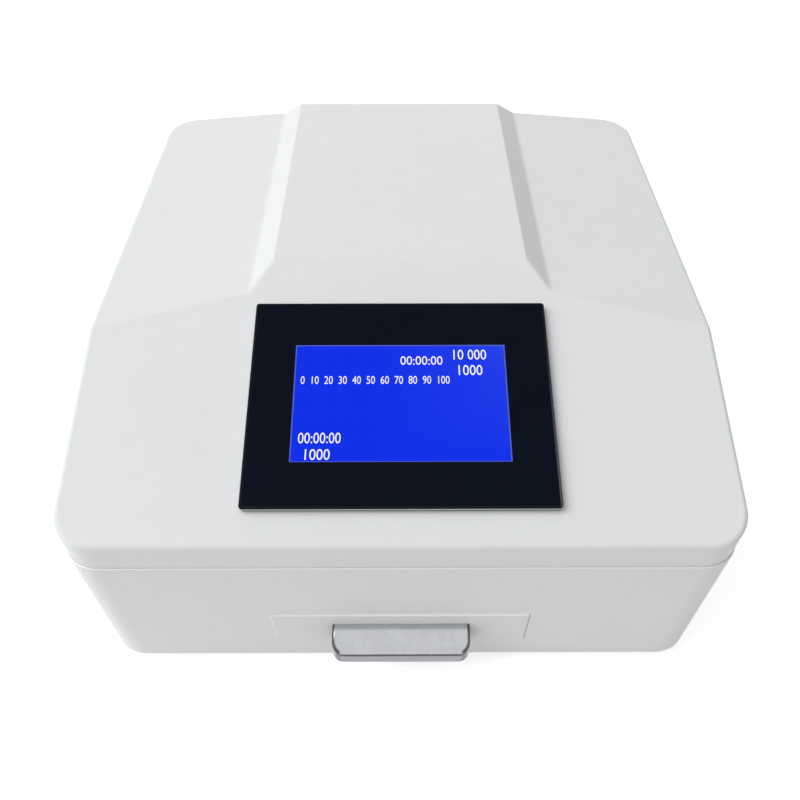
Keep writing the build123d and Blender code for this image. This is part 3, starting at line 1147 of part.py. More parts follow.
BOARD_FACE_Z = BOARD_Z + BOARD_THICKNESS
with BuildPart() as charger_board:
    with BuildSketch(level(BOARD_Z, -BOARD_X, BOARD_Y)):
        Rectangle(BOARD_WIDTH, BOARD_LENGTH)
    extrude(amount=BOARD_THICKNESS)
    with BuildSketch(level(BOARD_FACE_Z, -BOARD_X, BOARD_Y)):
        with GridLocations(3 * CHOKE_RADIUS, 0, 2, 1):
            RegularPolygon(CHOKE_RADIUS, 12)
    extrude(amount=CHOKE_HEIGHT)
    with BuildSketch(level(BOARD_FACE_Z, -BOARD_X, BOARD_Y)):
        with Locations((0, RELAY_PITCH - BOARD_LENGTH / 2)):
            with GridLocations(RELAY_PITCH, 0, 3, 1):
                Rectangle(RELAY_WIDTH, RELAY_LENGTH)
    extrude(amount=RELAY_HEIGHT)
    with BuildSketch(level(BOARD_FACE_Z, -BOARD_X, BOARD_Y)):
        with Locations((0, BOARD_LENGTH / 2 - 2 * SOCKET_WIDTH)):
            Rectangle(SOCKET_LENGTH, SOCKET_WIDTH)
    extrude(amount=SOCKET_HEIGHT)
save(charger_board, "charger_board")

with BuildPart() as control_board:
    with BuildSketch(level(BOARD_Z, BOARD_X, BOARD_Y)):
        Rectangle(BOARD_WIDTH, BOARD_LENGTH)
    extrude(amount=BOARD_THICKNESS)
    with BuildSketch(level(BOARD_FACE_Z, BOARD_X, BOARD_Y)):
        with GridLocations(2 * CHIP_SIZE, 2 * CHIP_SIZE, 2, 2):
            Rectangle(CHIP_SIZE, CHIP_SIZE)
    extrude(amount=CHIP_HEIGHT)
    with BuildSketch(level(BOARD_FACE_Z, BOARD_X, BOARD_Y)):
        with GridLocations(0, BOARD_LENGTH - 4 * SOCKET_WIDTH, 1, 2):
            Rectangle(SOCKET_LENGTH, SOCKET_WIDTH)
    extrude(amount=SOCKET_HEIGHT)
save(control_board, "control_board")

# Slotted drawer sensor on a post behind the stop bar; the flag stands in the slot when the drawer is shut
with BuildPart() as sensor_post:
    with BuildSketch(level(FLOOR_Z, FLAG_X, SENSOR_Y)):
        Rectangle(SENSOR_WIDTH, SENSOR_LENGTH)
    extrude(amount=SENSOR_Z - FLOOR_Z)
save(sensor_post, "sensor_post")

with BuildPart() as drawer_sensor:
    with BuildSketch(facing_front(SENSOR_Y)):
        with Locations((FLAG_X, SENSOR_Z)):
            Rectangle(SENSOR_WIDTH, SENSOR_HEIGHT, align=(Align.CENTER, Align.MIN))
        with Locations((FLAG_X, SENSOR_Z + SENSOR_HEIGHT)):
            Rectangle(SENSOR_SLOT, SENSOR_SLOT_DEPTH, align=(Align.CENTER, Align.MAX), mode=Mode.SUBTRACT)
    extrude(amount=SENSOR_LENGTH / 2, both=True)
save(drawer_sensor, "drawer_sensor")

# Cooling fan against the inside of the back wall: frame with a bush, and a seven-bladed rotor on its shaft
WALL_INSIDE_Y = REAR_Y - WALL
FAN_INNER_Y = WALL_INSIDE_Y - FAN_DEPTH
FAN_POINTS = GridLocations(FAN_HOLE_PITCH, FAN_HOLE_PITCH, 2, 2)
FAN_SCREW_BITE = FAN_DEPTH / 3
with BuildPart() as fan_frame:
    with BuildSketch(facing_rear(WALL_INSIDE_Y, FAN_X, FAN_Z)):
        RectangleRounded(FAN_SIZE, FAN_SIZE, FAN_CORNER)
        Circle(FAN_BORE_RADIUS, mode=Mode.SUBTRACT)
    extrude(amount=-FAN_DEPTH)
    with BuildSketch(facing_rear(FAN_INNER_Y, FAN_X, FAN_Z)):
        RegularPolygon(FAN_HUB_RADIUS, 24)
        Rectangle(2 * FAN_BORE_RADIUS + FAN_STRUT_WIDTH / 4, FAN_STRUT_WIDTH)
        Rectangle(FAN_STRUT_WIDTH, 2 * FAN_BORE_RADIUS + FAN_STRUT_WIDTH / 4)
        Circle(FAN_SHAFT_RADIUS + FAN_SHAFT_GAP, mode=Mode.SUBTRACT)
    extrude(amount=FAN_MOTOR_PLATE)
    with BuildSketch(facing_rear(WALL_INSIDE_Y, FAN_X, FAN_Z)):
        with FAN_POINTS:
            Circle(FAN_SCREW_RADIUS + THREAD_GAP)
    extrude(amount=-FAN_SCREW_BITE - SEAT_GAP, mode=Mode.SUBTRACT)
save(fan_frame, "fan_frame")

FAN_TIP_RADIUS = FAN_BORE_RADIUS - FAN_TIP_GAP
with BuildPart() as fan_blade:
    with BuildSketch(Plane(origin=(FAN_HUB_RADIUS - FAN_TIP_GAP, 0, 0), x_dir=(0, 1, 0), z_dir=(1, 0, 0))):
        Rectangle(FAN_BLADE_CHORD, FAN_BLADE_THICKNESS, rotation=FAN_BLADE_ROOT_ANGLE)
    with BuildSketch(Plane(origin=(FAN_TIP_RADIUS, 0, 0), x_dir=(0, 1, 0), z_dir=(1, 0, 0))):
        Rectangle(FAN_BLADE_CHORD, FAN_BLADE_THICKNESS, rotation=FAN_BLADE_TIP_ANGLE)
    loft()

FAN_HUB_Y = FAN_INNER_Y + FAN_MOTOR_PLATE + FAN_MOTOR_GAP
with BuildPart(facing_rear(FAN_HUB_Y + FAN_HUB_HEIGHT / 2, FAN_X, FAN_Z)) as fan_rotor:
    Cylinder(FAN_HUB_RADIUS, FAN_HUB_HEIGHT)
    with PolarLocations(0, FAN_BLADES):
        add(fan_blade.part)
    with BuildSketch(facing_rear(FAN_HUB_Y, FAN_X, FAN_Z)):
        Circle(FAN_SHAFT_RADIUS)
    extrude(amount=-FAN_MOTOR_GAP - FAN_MOTOR_PLATE)
save(fan_rotor, "fan_rotor")

GRILLE_SEAT_Y = REAR_Y + GRILLE_THICKNESS - FAN_HEAD_HEIGHT
with BuildPart() as fan_grille:
    with BuildSketch(facing_rear(REAR_Y, FAN_X, FAN_Z)):
        RectangleRounded(GRILLE_SIZE, GRILLE_SIZE, GRILLE_CORNER)
        Circle(FAN_BORE_RADIUS, mode=Mode.SUBTRACT)
        with GridLocations(0, 2 * FAN_BORE_RADIUS / (GRILLE_BARS + 1), 1, GRILLE_BARS):
            Rectangle(2 * FAN_BORE_RADIUS, GRILLE_BAR)
        with FAN_POINTS:
            Circle(FAN_SCREW_RADIUS + THREAD_GAP, mode=Mode.SUBTRACT)
    extrude(amount=GRILLE_THICKNESS)
    with BuildSketch(facing_rear(GRILLE_SEAT_Y, FAN_X, FAN_Z)):
        with FAN_POINTS:
            Circle(FAN_HEAD_RADIUS + SEAT_GAP)
    extrude(amount=FAN_HEAD_HEIGHT, mode=Mode.SUBTRACT)
save(fan_grille, "fan_grille")

with BuildPart() as fan_screws:
    with BuildSketch(facing_rear(GRILLE_SEAT_Y, FAN_X, FAN_Z)):
        with FAN_POINTS:
            Circle(FAN_HEAD_RADIUS)
    extrude(amount=FAN_HEAD_HEIGHT)
    with BuildSketch(facing_rear(GRILLE_SEAT_Y, FAN_X, FAN_Z)):
        with FAN_POINTS:
            Circle(FAN_SCREW_RADIUS)
    extrude(amount=FAN_HEAD_HEIGHT - GRILLE_THICKNESS - WALL - FAN_SCREW_BITE)
save(fan_screws, "fan_screws")

# Mains inlet: a flanged socket with bevelled corners and three pins
INLET_FACE_Y = REAR_Y + INLET_FLANGE_THICKNESS
INLET_SCREW_POINTS = GridLocations(INLET_SCREW_PITCH, 0, 2, 1)
with BuildPart() as power_inlet:
    with BuildSketch(facing_rear(REAR_Y, INLET_X, MAINS_Z)):
        Rectangle(INLET_FLANGE_WIDTH, INLET_FLANGE_HEIGHT)
        with INLET_SCREW_POINTS:
            Circle(INLET_SCREW_RADIUS + THREAD_GAP, mode=Mode.SUBTRACT)
    extrude(amount=INLET_FLANGE_THICKNESS)
    with BuildSketch(facing_rear(INLET_FACE_Y, INLET_X, MAINS_Z)):
        Rectangle(INLET_WIDTH + 2 * INLET_WALL, INLET_HEIGHT + 2 * INLET_WALL)
    extrude(amount=-INLET_DEPTH - INLET_WALL)
    with BuildSketch(facing_rear(INLET_FACE_Y, INLET_X, MAINS_Z)) as inlet_mouth:
        Rectangle(INLET_WIDTH, INLET_HEIGHT)
        chamfer(inlet_mouth.vertices().group_by(Axis.Y)[-1], INLET_BEVEL)
    extrude(amount=-INLET_DEPTH, mode=Mode.SUBTRACT)
    with BuildSketch(facing_rear(INLET_FACE_Y - INLET_DEPTH, INLET_X, MAINS_Z)):
        with GridLocations(2 * INLET_PIN_PITCH, 0, 2, 1):
            Rectangle(INLET_PIN_WIDTH, INLET_PIN_HEIGHT)
        with Locations((0, INLET_PIN_DROP)):
            Rectangle(INLET_PIN_WIDTH, INLET_PIN_HEIGHT)
    extrude(amount=-INLET_WALL, mode=Mode.SUBTRACT)
save(power_inlet, "power_inlet")

with BuildPart() as inlet_pins:
    with BuildSketch(facing_rear(INLET_FACE_Y - INLET_DEPTH + INLET_PIN_LENGTH, INLET_X, MAINS_Z)):
        with GridLocations(2 * INLET_PIN_PITCH, 0, 2, 1):
            Rectangle(INLET_PIN_WIDTH, INLET_PIN_HEIGHT)
        with Locations((0, INLET_PIN_DROP)):
            Rectangle(INLET_PIN_WIDTH, INLET_PIN_HEIGHT)
    extrude(amount=-2 * INLET_PIN_LENGTH)
save(inlet_pins, "inlet_pins")

with BuildPart() as inlet_screws:
    with BuildSketch(facing_rear(INLET_FACE_Y, INLET_X, MAINS_Z)):
        with INLET_SCREW_POINTS:
            Circle(INLET_HEAD_RADIUS)
    extrude(amount=INLET_HEAD_HEIGHT)
    with BuildSketch(facing_rear(INLET_FACE_Y, INLET_X, MAINS_Z)):
        with INLET_SCREW_POINTS:
            Circle(INLET_SCREW_RADIUS)
    extrude(amount=-INLET_FLANGE_THICKNESS - WALL)
save(inlet_screws, "inlet_screws")

# Power switch: a flanged body with pivot holes, and a rocker that tips either way about them
SWITCH_CAVITY_WIDTH = ROCKER_WIDTH + 2 * ROCKER_GAP
SWITCH_CAVITY_LENGTH = ROCKER_LENGTH + 2 * ROCKER_GAP
SWITCH_FACE_Y = REAR_Y + SWITCH_FLANGE_THICKNESS
PIVOT_Y = REAR_Y - WALL / 2
with BuildPart() as switch_body:
    with BuildSketch(facing_rear(REAR_Y, SWITCH_X, MAINS_Z)):
        Rectangle(SWITCH_FLANGE_WIDTH, SWITCH_FLANGE_HEIGHT)
    extrude(amount=SWITCH_FLANGE_THICKNESS)
    with BuildSketch(facing_rear(SWITCH_FACE_Y, SWITCH_X, MAINS_Z)):
        Rectangle(SWITCH_CAVITY_WIDTH + 2 * SWITCH_WALL, SWITCH_CAVITY_LENGTH + 2 * SWITCH_WALL)
    extrude(amount=-SWITCH_BODY_DEPTH)
    with BuildSketch(facing_rear(SWITCH_FACE_Y, SWITCH_X, MAINS_Z)):
        Rectangle(SWITCH_CAVITY_WIDTH, SWITCH_CAVITY_LENGTH)
    extrude(amount=SWITCH_WALL - SWITCH_BODY_DEPTH, mode=Mode.SUBTRACT)
    with BuildSketch(Plane(origin=(SWITCH_X, PIVOT_Y, MAINS_Z), x_dir=(0, 1, 0), z_dir=(1, 0, 0))):
        Circle(ROCKER_PIN_RADIUS + ROCKER_PIN_GAP)
    extrude(amount=SWITCH_CAVITY_WIDTH / 2 + SWITCH_WALL, both=True, mode=Mode.SUBTRACT)
save(switch_body, "switch_body")

ROCKER_PLANE = Plane(
    origin=(SWITCH_X, PIVOT_Y, MAINS_Z),
    x_dir=(0, cos(radians(ROCKER_TILT)), sin(radians(ROCKER_TILT))),
    z_dir=(1, 0, 0),
)
with BuildPart() as rocker:
    with BuildSketch(ROCKER_PLANE):
        with BuildLine():
            Polyline(
                (-ROCKER_KEEL, 0),
                (-ROCKER_SKIRT, -ROCKER_LENGTH / 2),
                (ROCKER_RISE, -ROCKER_LENGTH / 2),
                (ROCKER_RISE / 2, 0),
                (ROCKER_RISE, ROCKER_LENGTH / 2),
                (-ROCKER_SKIRT, ROCKER_LENGTH / 2),
                close=True,
            )
        make_face()
    extrude(amount=ROCKER_WIDTH / 2, both=True)
    with BuildSketch(ROCKER_PLANE):
        Circle(ROCKER_PIN_RADIUS)
    extrude(amount=SWITCH_CAVITY_WIDTH / 2 + SWITCH_WALL, both=True)
save(rocker, "rocker")
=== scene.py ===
from math import cos, radians, sin

import bpy
from mathutils import Matrix, Vector


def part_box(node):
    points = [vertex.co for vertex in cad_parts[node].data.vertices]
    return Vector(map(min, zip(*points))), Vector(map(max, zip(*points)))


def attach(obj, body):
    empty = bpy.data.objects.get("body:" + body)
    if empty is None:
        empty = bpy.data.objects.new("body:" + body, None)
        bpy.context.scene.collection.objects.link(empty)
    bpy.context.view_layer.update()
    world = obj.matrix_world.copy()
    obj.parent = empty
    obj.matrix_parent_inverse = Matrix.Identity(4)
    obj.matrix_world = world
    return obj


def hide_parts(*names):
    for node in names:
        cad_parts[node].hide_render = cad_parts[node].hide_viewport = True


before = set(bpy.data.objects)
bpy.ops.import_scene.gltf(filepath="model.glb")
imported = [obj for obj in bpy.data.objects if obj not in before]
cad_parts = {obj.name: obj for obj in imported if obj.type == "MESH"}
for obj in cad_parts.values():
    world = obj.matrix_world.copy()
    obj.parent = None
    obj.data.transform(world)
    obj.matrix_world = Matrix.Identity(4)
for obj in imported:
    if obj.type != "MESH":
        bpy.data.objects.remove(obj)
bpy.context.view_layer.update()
bpy.ops.object.select_all(action="DESELECT")


# Base of the case: one white ABS moulding, open on top, with the drawer's mouth in its front wall.
# The skin has the faint waviness and fine grain that a polished mould leaves, and the mouth's edge
# is painted pale along its top and left, a painted highlight.
def feed(tree, node, inputs):
    """Sets or links each input of a node that is named. A colour is given as red, green and blue."""
    for name, value in inputs.items():
        socket = node.inputs[name]
        if isinstance(value, bpy.types.NodeSocket):
            tree.links.new(value, socket)
        elif socket.type == "RGBA":
            socket.default_value = (*value, 1)
        else:
            socket.default_value = value


def put(tree, kind, inputs, **settings):
    """Adds a node with its settings and inputs."""
    node = tree.nodes.new("ShaderNode" + kind)
    for setting, value in settings.items():
        setattr(node, setting, value)
    feed(tree, node, inputs)
    return node


def calc(tree, operation, *values):
    """One step of arithmetic on values or masks."""
    return put(tree, "Math", dict(enumerate(values)), operation=operation).outputs[0]


def vector_calc(tree, operation, *vectors):
    """One step of arithmetic on vectors."""
    node = put(tree, "VectorMath", dict(enumerate(vectors)), operation=operation)
    return node.outputs["Value" if operation == "LENGTH" else "Vector"]


def axes_of(tree, vector):
    """A vector's X, Y and Z."""
    return put(tree, "SeparateXYZ", {"Vector": vector}).outputs


def ramp(tree, value, start, end, low=0.0, high=1.0):
    """Goes from low, where the value is at start, to high, where it is at end."""
    limits = {"From Min": start, "From Max": end, "To Min": low, "To Max": high}
    return put(tree, "MapRange", {"Value": value, **limits}).outputs[0]


def noise(tree, place, scale, detail, distortion=0.0):
    """A cloudy value of about 0 to 1."""
    look = {"Scale": scale, "Detail": detail, "Distortion": distortion}
    return put(tree, "TexNoise", {"Vector": place, **look}).outputs[0]


def mix(tree, mask, first, second):
    """The first colour where the mask is 0, the second where it is 1."""
    return put(tree, "Mix", {0: mask, 6: first, 7: second}, data_type="RGBA").outputs[2]


def shaded(tree, value, colour):
    """A colour made darker or lighter by a value."""
    return put(tree, "HueSaturation", {"Value": value, "Color": colour}).outputs[0]


def relief(tree, height, strength, distance):
    """A normal from a height."""
    return put(tree, "Bump", {"Strength": strength, "Distance": distance, "Height": height}).outputs[0]


def own_place(tree):
    """The piece's own coordinates."""
    return put(tree, "TexCoord", {}).outputs["Object"]


def new_group(name, inputs):
    """Starts a group that puts out a colour, a roughness and a normal: its tree, input sockets and output node."""
    group = bpy.data.node_groups.new(name, "ShaderNodeTree")
    for title, value in inputs.items():
        kind = {float: "Float", tuple: "Color", Vector: "Vector"}[type(value)]
        socket = group.interface.new_socket(title, in_out="INPUT", socket_type="NodeSocket" + kind)
        socket.default_value = value
    for title, kind in (("Color", "Color"), ("Roughness", "Float"), ("Normal", "Vector")):
        group.interface.new_socket(title, in_out="OUTPUT", socket_type="NodeSocket" + kind)
    return group, group.nodes.new("NodeGroupInput").outputs, group.nodes.new("NodeGroupOutput")


def new_material(name):
    """An empty material, its tree and its Principled shader."""
    material = bpy.data.materials.new(name)
    material.use_nodes = True
    return material, material.node_tree, material.node_tree.nodes["Principled BSDF"]


def grouped(name, group, values, plain):
    """A material with a group's colour, roughness and normal, and plain values on the shader's own sockets."""
    material, tree, shader = new_material(name)
    skin = put(tree, "Group", values, node_tree=group).outputs
    feed(tree, shader, {"Base Color": skin["Color"], "Roughness": skin["Roughness"], "Normal": skin["Normal"]})
    feed(tree, shader, plain)
    return material


def dress(material, *names):
    """Gives a material to the CAD nodes of these names."""
    for name in names:
        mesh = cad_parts[name].data
        mesh.materials.clear()
        mesh.materials.append(material)


moulded_skin, skin_in, skin_out = new_group(
    "moulded_skin",
    {
        "Color": (0.8, 0.8, 0.8, 1),
        "Mottle": 0.03,
        "Gloss": 0.35,
        "Spread": 0.05,
        "Grain": 0.1,
        "Fineness": 1400.0,
    },
)
skin_place = own_place(moulded_skin)
skin_waves = noise(moulded_skin, skin_place, scale=6.0, detail=3.0)
skin_cloud = noise(moulded_skin, skin_place, scale=45.0, detail=4.0)
skin_grain = noise(moulded_skin, skin_place, scale=skin_in["Fineness"], detail=1.0)
skin_swing = calc(moulded_skin, "SUBTRACT", calc(moulded_skin, "ADD", skin_waves, skin_cloud), 1.0)
skin_value = calc(moulded_skin, "MULTIPLY_ADD", skin_swing, skin_in["Mottle"], 1.0)
feed(
    moulded_skin,
    skin_out,
    {
        "Color": shaded(moulded_skin, skin_value, skin_in["Color"]),
        "Roughness": calc(moulded_skin, "MULTIPLY_ADD", skin_swing, skin_in["Spread"], skin_in["Gloss"]),
        "Normal": relief(moulded_skin, skin_grain, skin_in["Grain"], distance=0.0003),
    },
)


def moulded(name, colour, mottle, gloss, spread, grain, fineness, specular=0.5):
    """A moulded plastic or rubber with that colour and skin."""
    skin = {
        "Color": colour,
        "Mottle": mottle,
        "Gloss": gloss,
        "Spread": spread,
        "Grain": grain,
        "Fineness": fineness,
    }
    return grouped(name, moulded_skin, skin, {"Specular IOR Level": specular})


def lighten(material, mask, pale):
    """Lightens a moulded skin where the mask is 1."""
    tree = material.node_tree
    shader = tree.nodes["Principled BSDF"]
    skin = shader.inputs["Base Color"].links[0].from_socket
    feed(tree, shader, {"Base Color": mix(tree, mask, skin, pale)})


front_low, front_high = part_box("drawer_front")
foot_fade = 0.002
highlight_white = (0.98, 0.98, 0.97)


def paint_edge_highlight(material, reach, depth, right):
    """Paints a pale highlight along the drawer front's top and left edges, each pair being where that starts and
    is full:
    reach out from the front's outline, depth behind its face, and right from its right end."""
    tree = material.node_tree
    place = own_place(tree)
    offset = vector_calc(tree, "SUBTRACT", place, (front_low + front_high) / 2)
    offset = vector_calc(tree, "SUBTRACT", vector_calc(tree, "ABSOLUTE", offset), (front_high - front_low) / 2)
    sides, axes = axes_of(tree, offset), axes_of(tree, place)
    mask = ramp(tree, calc(tree, "MAXIMUM", sides["X"], sides["Z"]), *reach)
    for axis, start, full in (
        ("Y", front_low.y + depth[0], front_low.y + depth[1]),
        ("Z", front_low.z, front_low.z + foot_fade),
        ("X", front_high.x + right[0], front_high.x + right[1]),
    ):
        mask = calc(tree, "MULTIPLY", mask, ramp(tree, axes[axis], start, full))
    # The pale colour is a painted highlight where the light falls on the edge.
    lighten(material, mask, highlight_white)


case_skin = {"mottle": 0.035, "spread": 0.10, "grain": 0.05, "fineness": 1500.0, "specular": 0.12}
base_plastic = moulded("base_plastic", (0.83, 0.84, 0.83), gloss=0.36, **case_skin)
paint_edge_highlight(base_plastic, reach=(0.0017, 0.0014), depth=(0.004, 0.003), right=(0.0006, 0.0003))
dress(base_plastic, "base_shell")


# Feet: four black rubber pads under the corners, each held by a plated steel screw in its recess.
# The rubber is dull, with a dusty bloom and a coarse skin.
rubber_skin = {"mottle": 0.5, "gloss": 0.78, "spread": 0.2, "grain": 0.5, "fineness": 700.0}
dress(moulded("foot_rubber", (0.018, 0.018, 0.019), specular=0.3, **rubber_skin), "rubber_feet")


# Plated steel: screws, bolts, brackets, clamps, the strap and the stop bar inside the case.
# Zinc plating has small crystals of slightly different shade, and the metal under it is pitted.
def between(tree, value, low, high):
    """Spreads a value of 0 to 1 between low and high."""
    return ramp(tree, value, 0.0, 1.0, low, high)


gloss_swing = 0.07


def zinc_plated(name, colour, crystals, gloss):
    """Steel with a crystalline plating of that colour."""
    material, tree, shader = new_material(name)
    place = own_place(tree)
    spangle = put(tree, "TexVoronoi", {"Vector": place, "Scale": crystals}).outputs["Color"]
    grey = put(tree, "SeparateColor", {"Color": spangle}).outputs[0]
    pits = noise(tree, place, scale=2200.0, detail=2.0)
    feed(
        tree,
        shader,
        {
            "Base Color": shaded(tree, between(tree, grey, 0.86, 1.06), colour),
            "Roughness": between(tree, grey, gloss - gloss_swing, gloss + gloss_swing),
            "Normal": relief(tree, pits, strength=0.12, distance=0.0002),
            "Metallic": 1.0,
        },
    )
    return material


zinc_steel = zinc_plated("zinc_steel", (0.62, 0.63, 0.63), crystals=520.0, gloss=0.36)
black_screw = zinc_plated("black_screw", (0.05, 0.05, 0.055), crystals=900.0, gloss=0.42)
dress(
    zinc_steel,
    "case_screws",
    "foot_screws",
    "coil_brackets",
    "coil_bolts",
    "transformer_strap",
    "transformer_bolts",
    "board_standoffs",
    "stop_bar",
    "panel_clamps",
    "panel_clamp_screws",
    "terminal_screws",
)


# Coil former: glass-cloth laminate, cut and glued, with two flanges that stand on the floor.
# The cloth shows as a fine square weave under amber resin.
former_laminate, tree, shader = new_material("former_laminate")
place = own_place(tree)
weft, warp = (
    put(tree, "TexWave", {"Vector": place, "Scale": 260.0}, bands_direction=way).outputs["Fac"] for way in "XZ"
)
weave = calc(tree, "MULTIPLY", weft, warp)
resin = calc(tree, "MULTIPLY_ADD", weave, 0.35, noise(tree, place, scale=25.0, detail=4.0))
feed(
    tree,
    shader,
    {
        "Base Color": mix(tree, resin, (0.30, 0.17, 0.05), (0.62, 0.44, 0.18)),
        "Roughness": 0.42,
        "Normal": relief(tree, weave, strength=0.15, distance=0.0002),
    },
)
dress(former_laminate, "coil_former")


# Pulse coil and charging transformer: enamelled copper wire in close turns, polyester tape over the bobbin, and
# a core of stacked steel sheets. Each turn stands up a little, with painted shade between it and the next
# and a painted highlight on its top.
band_gap = 0.314  # metres between a wave texture's bands at scale 1


def wound(name, light, dark, pitch, direction, metallic, gloss, lift):
    """Turns side by side along a direction, at that pitch in metres."""
    material, tree, shader = new_material(name)
    place = own_place(tree)
    turns = put(
        tree,
        "TexWave",
        {"Vector": place, "Scale": band_gap / pitch, "Distortion": 0.15, "Detail": 1.0},
        bands_direction=direction,
    ).outputs["Fac"]
    uneven = noise(tree, place, scale=80.0, detail=3.0)
    # The colour is painted darker in the grooves between turns, painted shade, and lighter on the top of each
    # turn, a painted highlight.
    groove_shade_top_highlight = ramp(tree, calc(tree, "MULTIPLY", turns, uneven), 0.0, 0.45)
    feed(
        tree,
        shader,
        {
            "Base Color": mix(tree, groove_shade_top_highlight, dark, light),
            "Roughness": between(tree, uneven, gloss, gloss + 0.2),
            "Normal": relief(tree, turns, strength=lift, distance=0.0006),
            "Metallic": metallic,
        },
    )
    return material


copper_look = {"pitch": 0.0030, "direction": "Y", "metallic": 0.85, "gloss": 0.22, "lift": 0.7}
tape_look = {"pitch": 0.0110, "direction": "Z", "metallic": 0.0, "gloss": 0.22, "lift": 0.25}
sheet_look = {"pitch": 0.0010, "direction": "Y", "metallic": 0.7, "gloss": 0.40, "lift": 0.3}
dress(wound("copper_winding", (0.72, 0.30, 0.13), (0.12, 0.035, 0.012), **copper_look), "coil_winding")
dress(wound("bobbin_tape", (0.78, 0.56, 0.08), (0.40, 0.25, 0.03), **tape_look), "transformer_winding")
dress(wound("core_steel", (0.34, 0.35, 0.37), (0.10, 0.10, 0.11), **sheet_look), "transformer_core")


# Guide strips: two white acetal angles in the lower corners of the coil, which the drawer's tray slides on.
# They are extruded, cut to length and glued in, and they are waxy and slightly scuffed.
acetal_skin = {"mottle": 0.10, "gloss": 0.38, "spread": 0.2, "grain": 0.15, "fineness": 900.0}
dress(moulded("guide_plastic", (0.72, 0.71, 0.66), **acetal_skin), "guide_strip_left", "guide_strip_right")


# Pulse capacitors: aluminium cans in blue shrink sleeves with a pale polarity stripe, a phenolic top disc
# and two threaded terminals. They stand in a black moulded cradle.
hair = 0.0001


def above(tree, value, level):
    """0 under a level and 1 over it, with a hair of blur."""
    return ramp(tree, value, level - hair, level + hair)


capacitor_sleeve, tree, shader = new_material("capacitor_sleeve")
can_low, can_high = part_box("pulse_capacitor_1")
can_middle = (can_low.x + can_high.x) / 2
can_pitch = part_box("pulse_capacitor_3")[0].x - can_low.x
stripe_width, stripe_blur = 0.0045, 0.0005
stud_height, stud_foot, rim_drop = 0.008, 0.0033, 0.0009
rim_z = can_high.z - stud_height
stripe_end = can_low.x + stripe_width
place = own_place(tree)
axes = axes_of(tree, place)
across = calc(tree, "WRAP", axes["X"], can_middle + can_pitch / 2, can_middle - can_pitch / 2)
at_stripe = ramp(tree, across, stripe_end + stripe_blur, stripe_end - stripe_blur)
at_rim = above(tree, axes["Z"], rim_z - rim_drop)
at_stud = above(tree, axes["Z"], rim_z + stud_foot)
sleeve = mix(tree, noise(tree, place, scale=40.0, detail=4.0), (0.010, 0.030, 0.10), (0.018, 0.055, 0.17))
striped = mix(tree, at_stripe, sleeve, (0.55, 0.57, 0.60))
rimmed = mix(tree, at_rim, striped, (0.012, 0.011, 0.010))
wrinkle = noise(tree, place, scale=120.0, detail=3.0)
feed(
    tree,
    shader,
    {
        "Base Color": mix(tree, at_stud, rimmed, (0.62, 0.62, 0.60)),
        "Roughness": between(tree, wrinkle, 0.16, 0.38),
        "Normal": relief(tree, wrinkle, strength=0.12, distance=0.0008),
        "Metallic": at_stud,
    },
)
dress(capacitor_sleeve, *(f"pulse_capacitor_{number}" for number in range(1, 7)))
cradle_skin = {"mottle": 0.2, "gloss": 0.5, "spread": 0.2, "grain": 0.35, "fineness": 900.0}
dress(moulded("cradle_plastic", (0.022, 0.022, 0.024), **cradle_skin), "capacitor_cradle")


# Busbars: two copper strips across the capacitors' terminals, sheared, punched and bright.
# Drawn and sheared metal has fine lines along its length, and a faint tarnish.
drawn_metal, drawn_in, drawn_out = new_group(
    "drawn_metal",
    {"Color": (0.7, 0.7, 0.7, 1), "Along": Vector((20, 900, 900)), "Gloss": 0.3, "Tarnish": 0.2},
)
drawn_place = own_place(drawn_metal)
drawn_long = vector_calc(drawn_metal, "MULTIPLY", drawn_place, drawn_in["Along"])
drawn_lines = noise(drawn_metal, drawn_long, scale=1.0, detail=3.0)
drawn_cloud = noise(drawn_metal, drawn_place, scale=30.0, detail=5.0)
drawn_swing = calc(drawn_metal, "SUBTRACT", drawn_cloud, 0.5)
drawn_value = calc(drawn_metal, "MULTIPLY_ADD", drawn_swing, drawn_in["Tarnish"], 1.0)
feed(
    drawn_metal,
    drawn_out,
    {
        "Color": shaded(drawn_metal, drawn_value, drawn_in["Color"]),
        "Roughness": calc(drawn_metal, "MULTIPLY_ADD", drawn_lines, 0.16, drawn_in["Gloss"]),
        "Normal": relief(drawn_metal, drawn_lines, strength=0.10, distance=0.0002),
    },
)


def drawn(name, colour, along, gloss, tarnish):
    """A bare metal with lines along one direction."""
    lines = {"Color": colour, "Along": along, "Gloss": gloss, "Tarnish": tarnish}
    return grouped(name, drawn_metal, lines, {"Metallic": 1.0})


copper_bar = drawn("copper_bar", (0.86, 0.42, 0.24), along=(25, 900, 900), gloss=0.18, tarnish=0.35)
dress(copper_bar, "positive_busbar", "negative_busbar")


# Discharge switch and bleeder: an extruded aluminium heat sink that stands on its fins, a black epoxy thyristor
# module with plated studs on top of it, and a resistor in a gold-anodised extruded housing.
extruded = (700, 18, 700)
dress(drawn("sink_aluminium", (0.74, 0.75, 0.77), extruded, gloss=0.26, tarnish=0.12), "heat_sink")
dress(drawn("resistor_aluminium", (0.70, 0.50, 0.20), extruded, gloss=0.30, tarnish=0.15), "bleeder_resistor")
module_plastic, tree, shader = new_material("module_plastic")
module_stud_height = 0.004
module_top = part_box("thyristor_module")[1].z - module_stud_height
place = own_place(tree)
at_stud = above(tree, axes_of(tree, place)["Z"], module_top + 2 * hair)
epoxy = noise(tree, place, scale=300.0, detail=4.0)
black = mix(tree, epoxy, (0.012, 0.012, 0.014), (0.040, 0.040, 0.044))
feed(
    tree,
    shader,
    {
        "Base Color": mix(tree, at_stud, black, (0.66, 0.66, 0.62)),
        "Roughness": 0.42,
        "Normal": relief(tree, epoxy, strength=0.2, distance=0.0003),
        "Metallic": at_stud,
    },
)
dress(module_plastic, "thyristor_module")


# Circuit boards: green solder mask over copper tracks, tinned pads, and black components that stand on them.
# The charger and control boards lie level; the panel's board lies parallel to the sloping front.
board_thickness = 0.0016


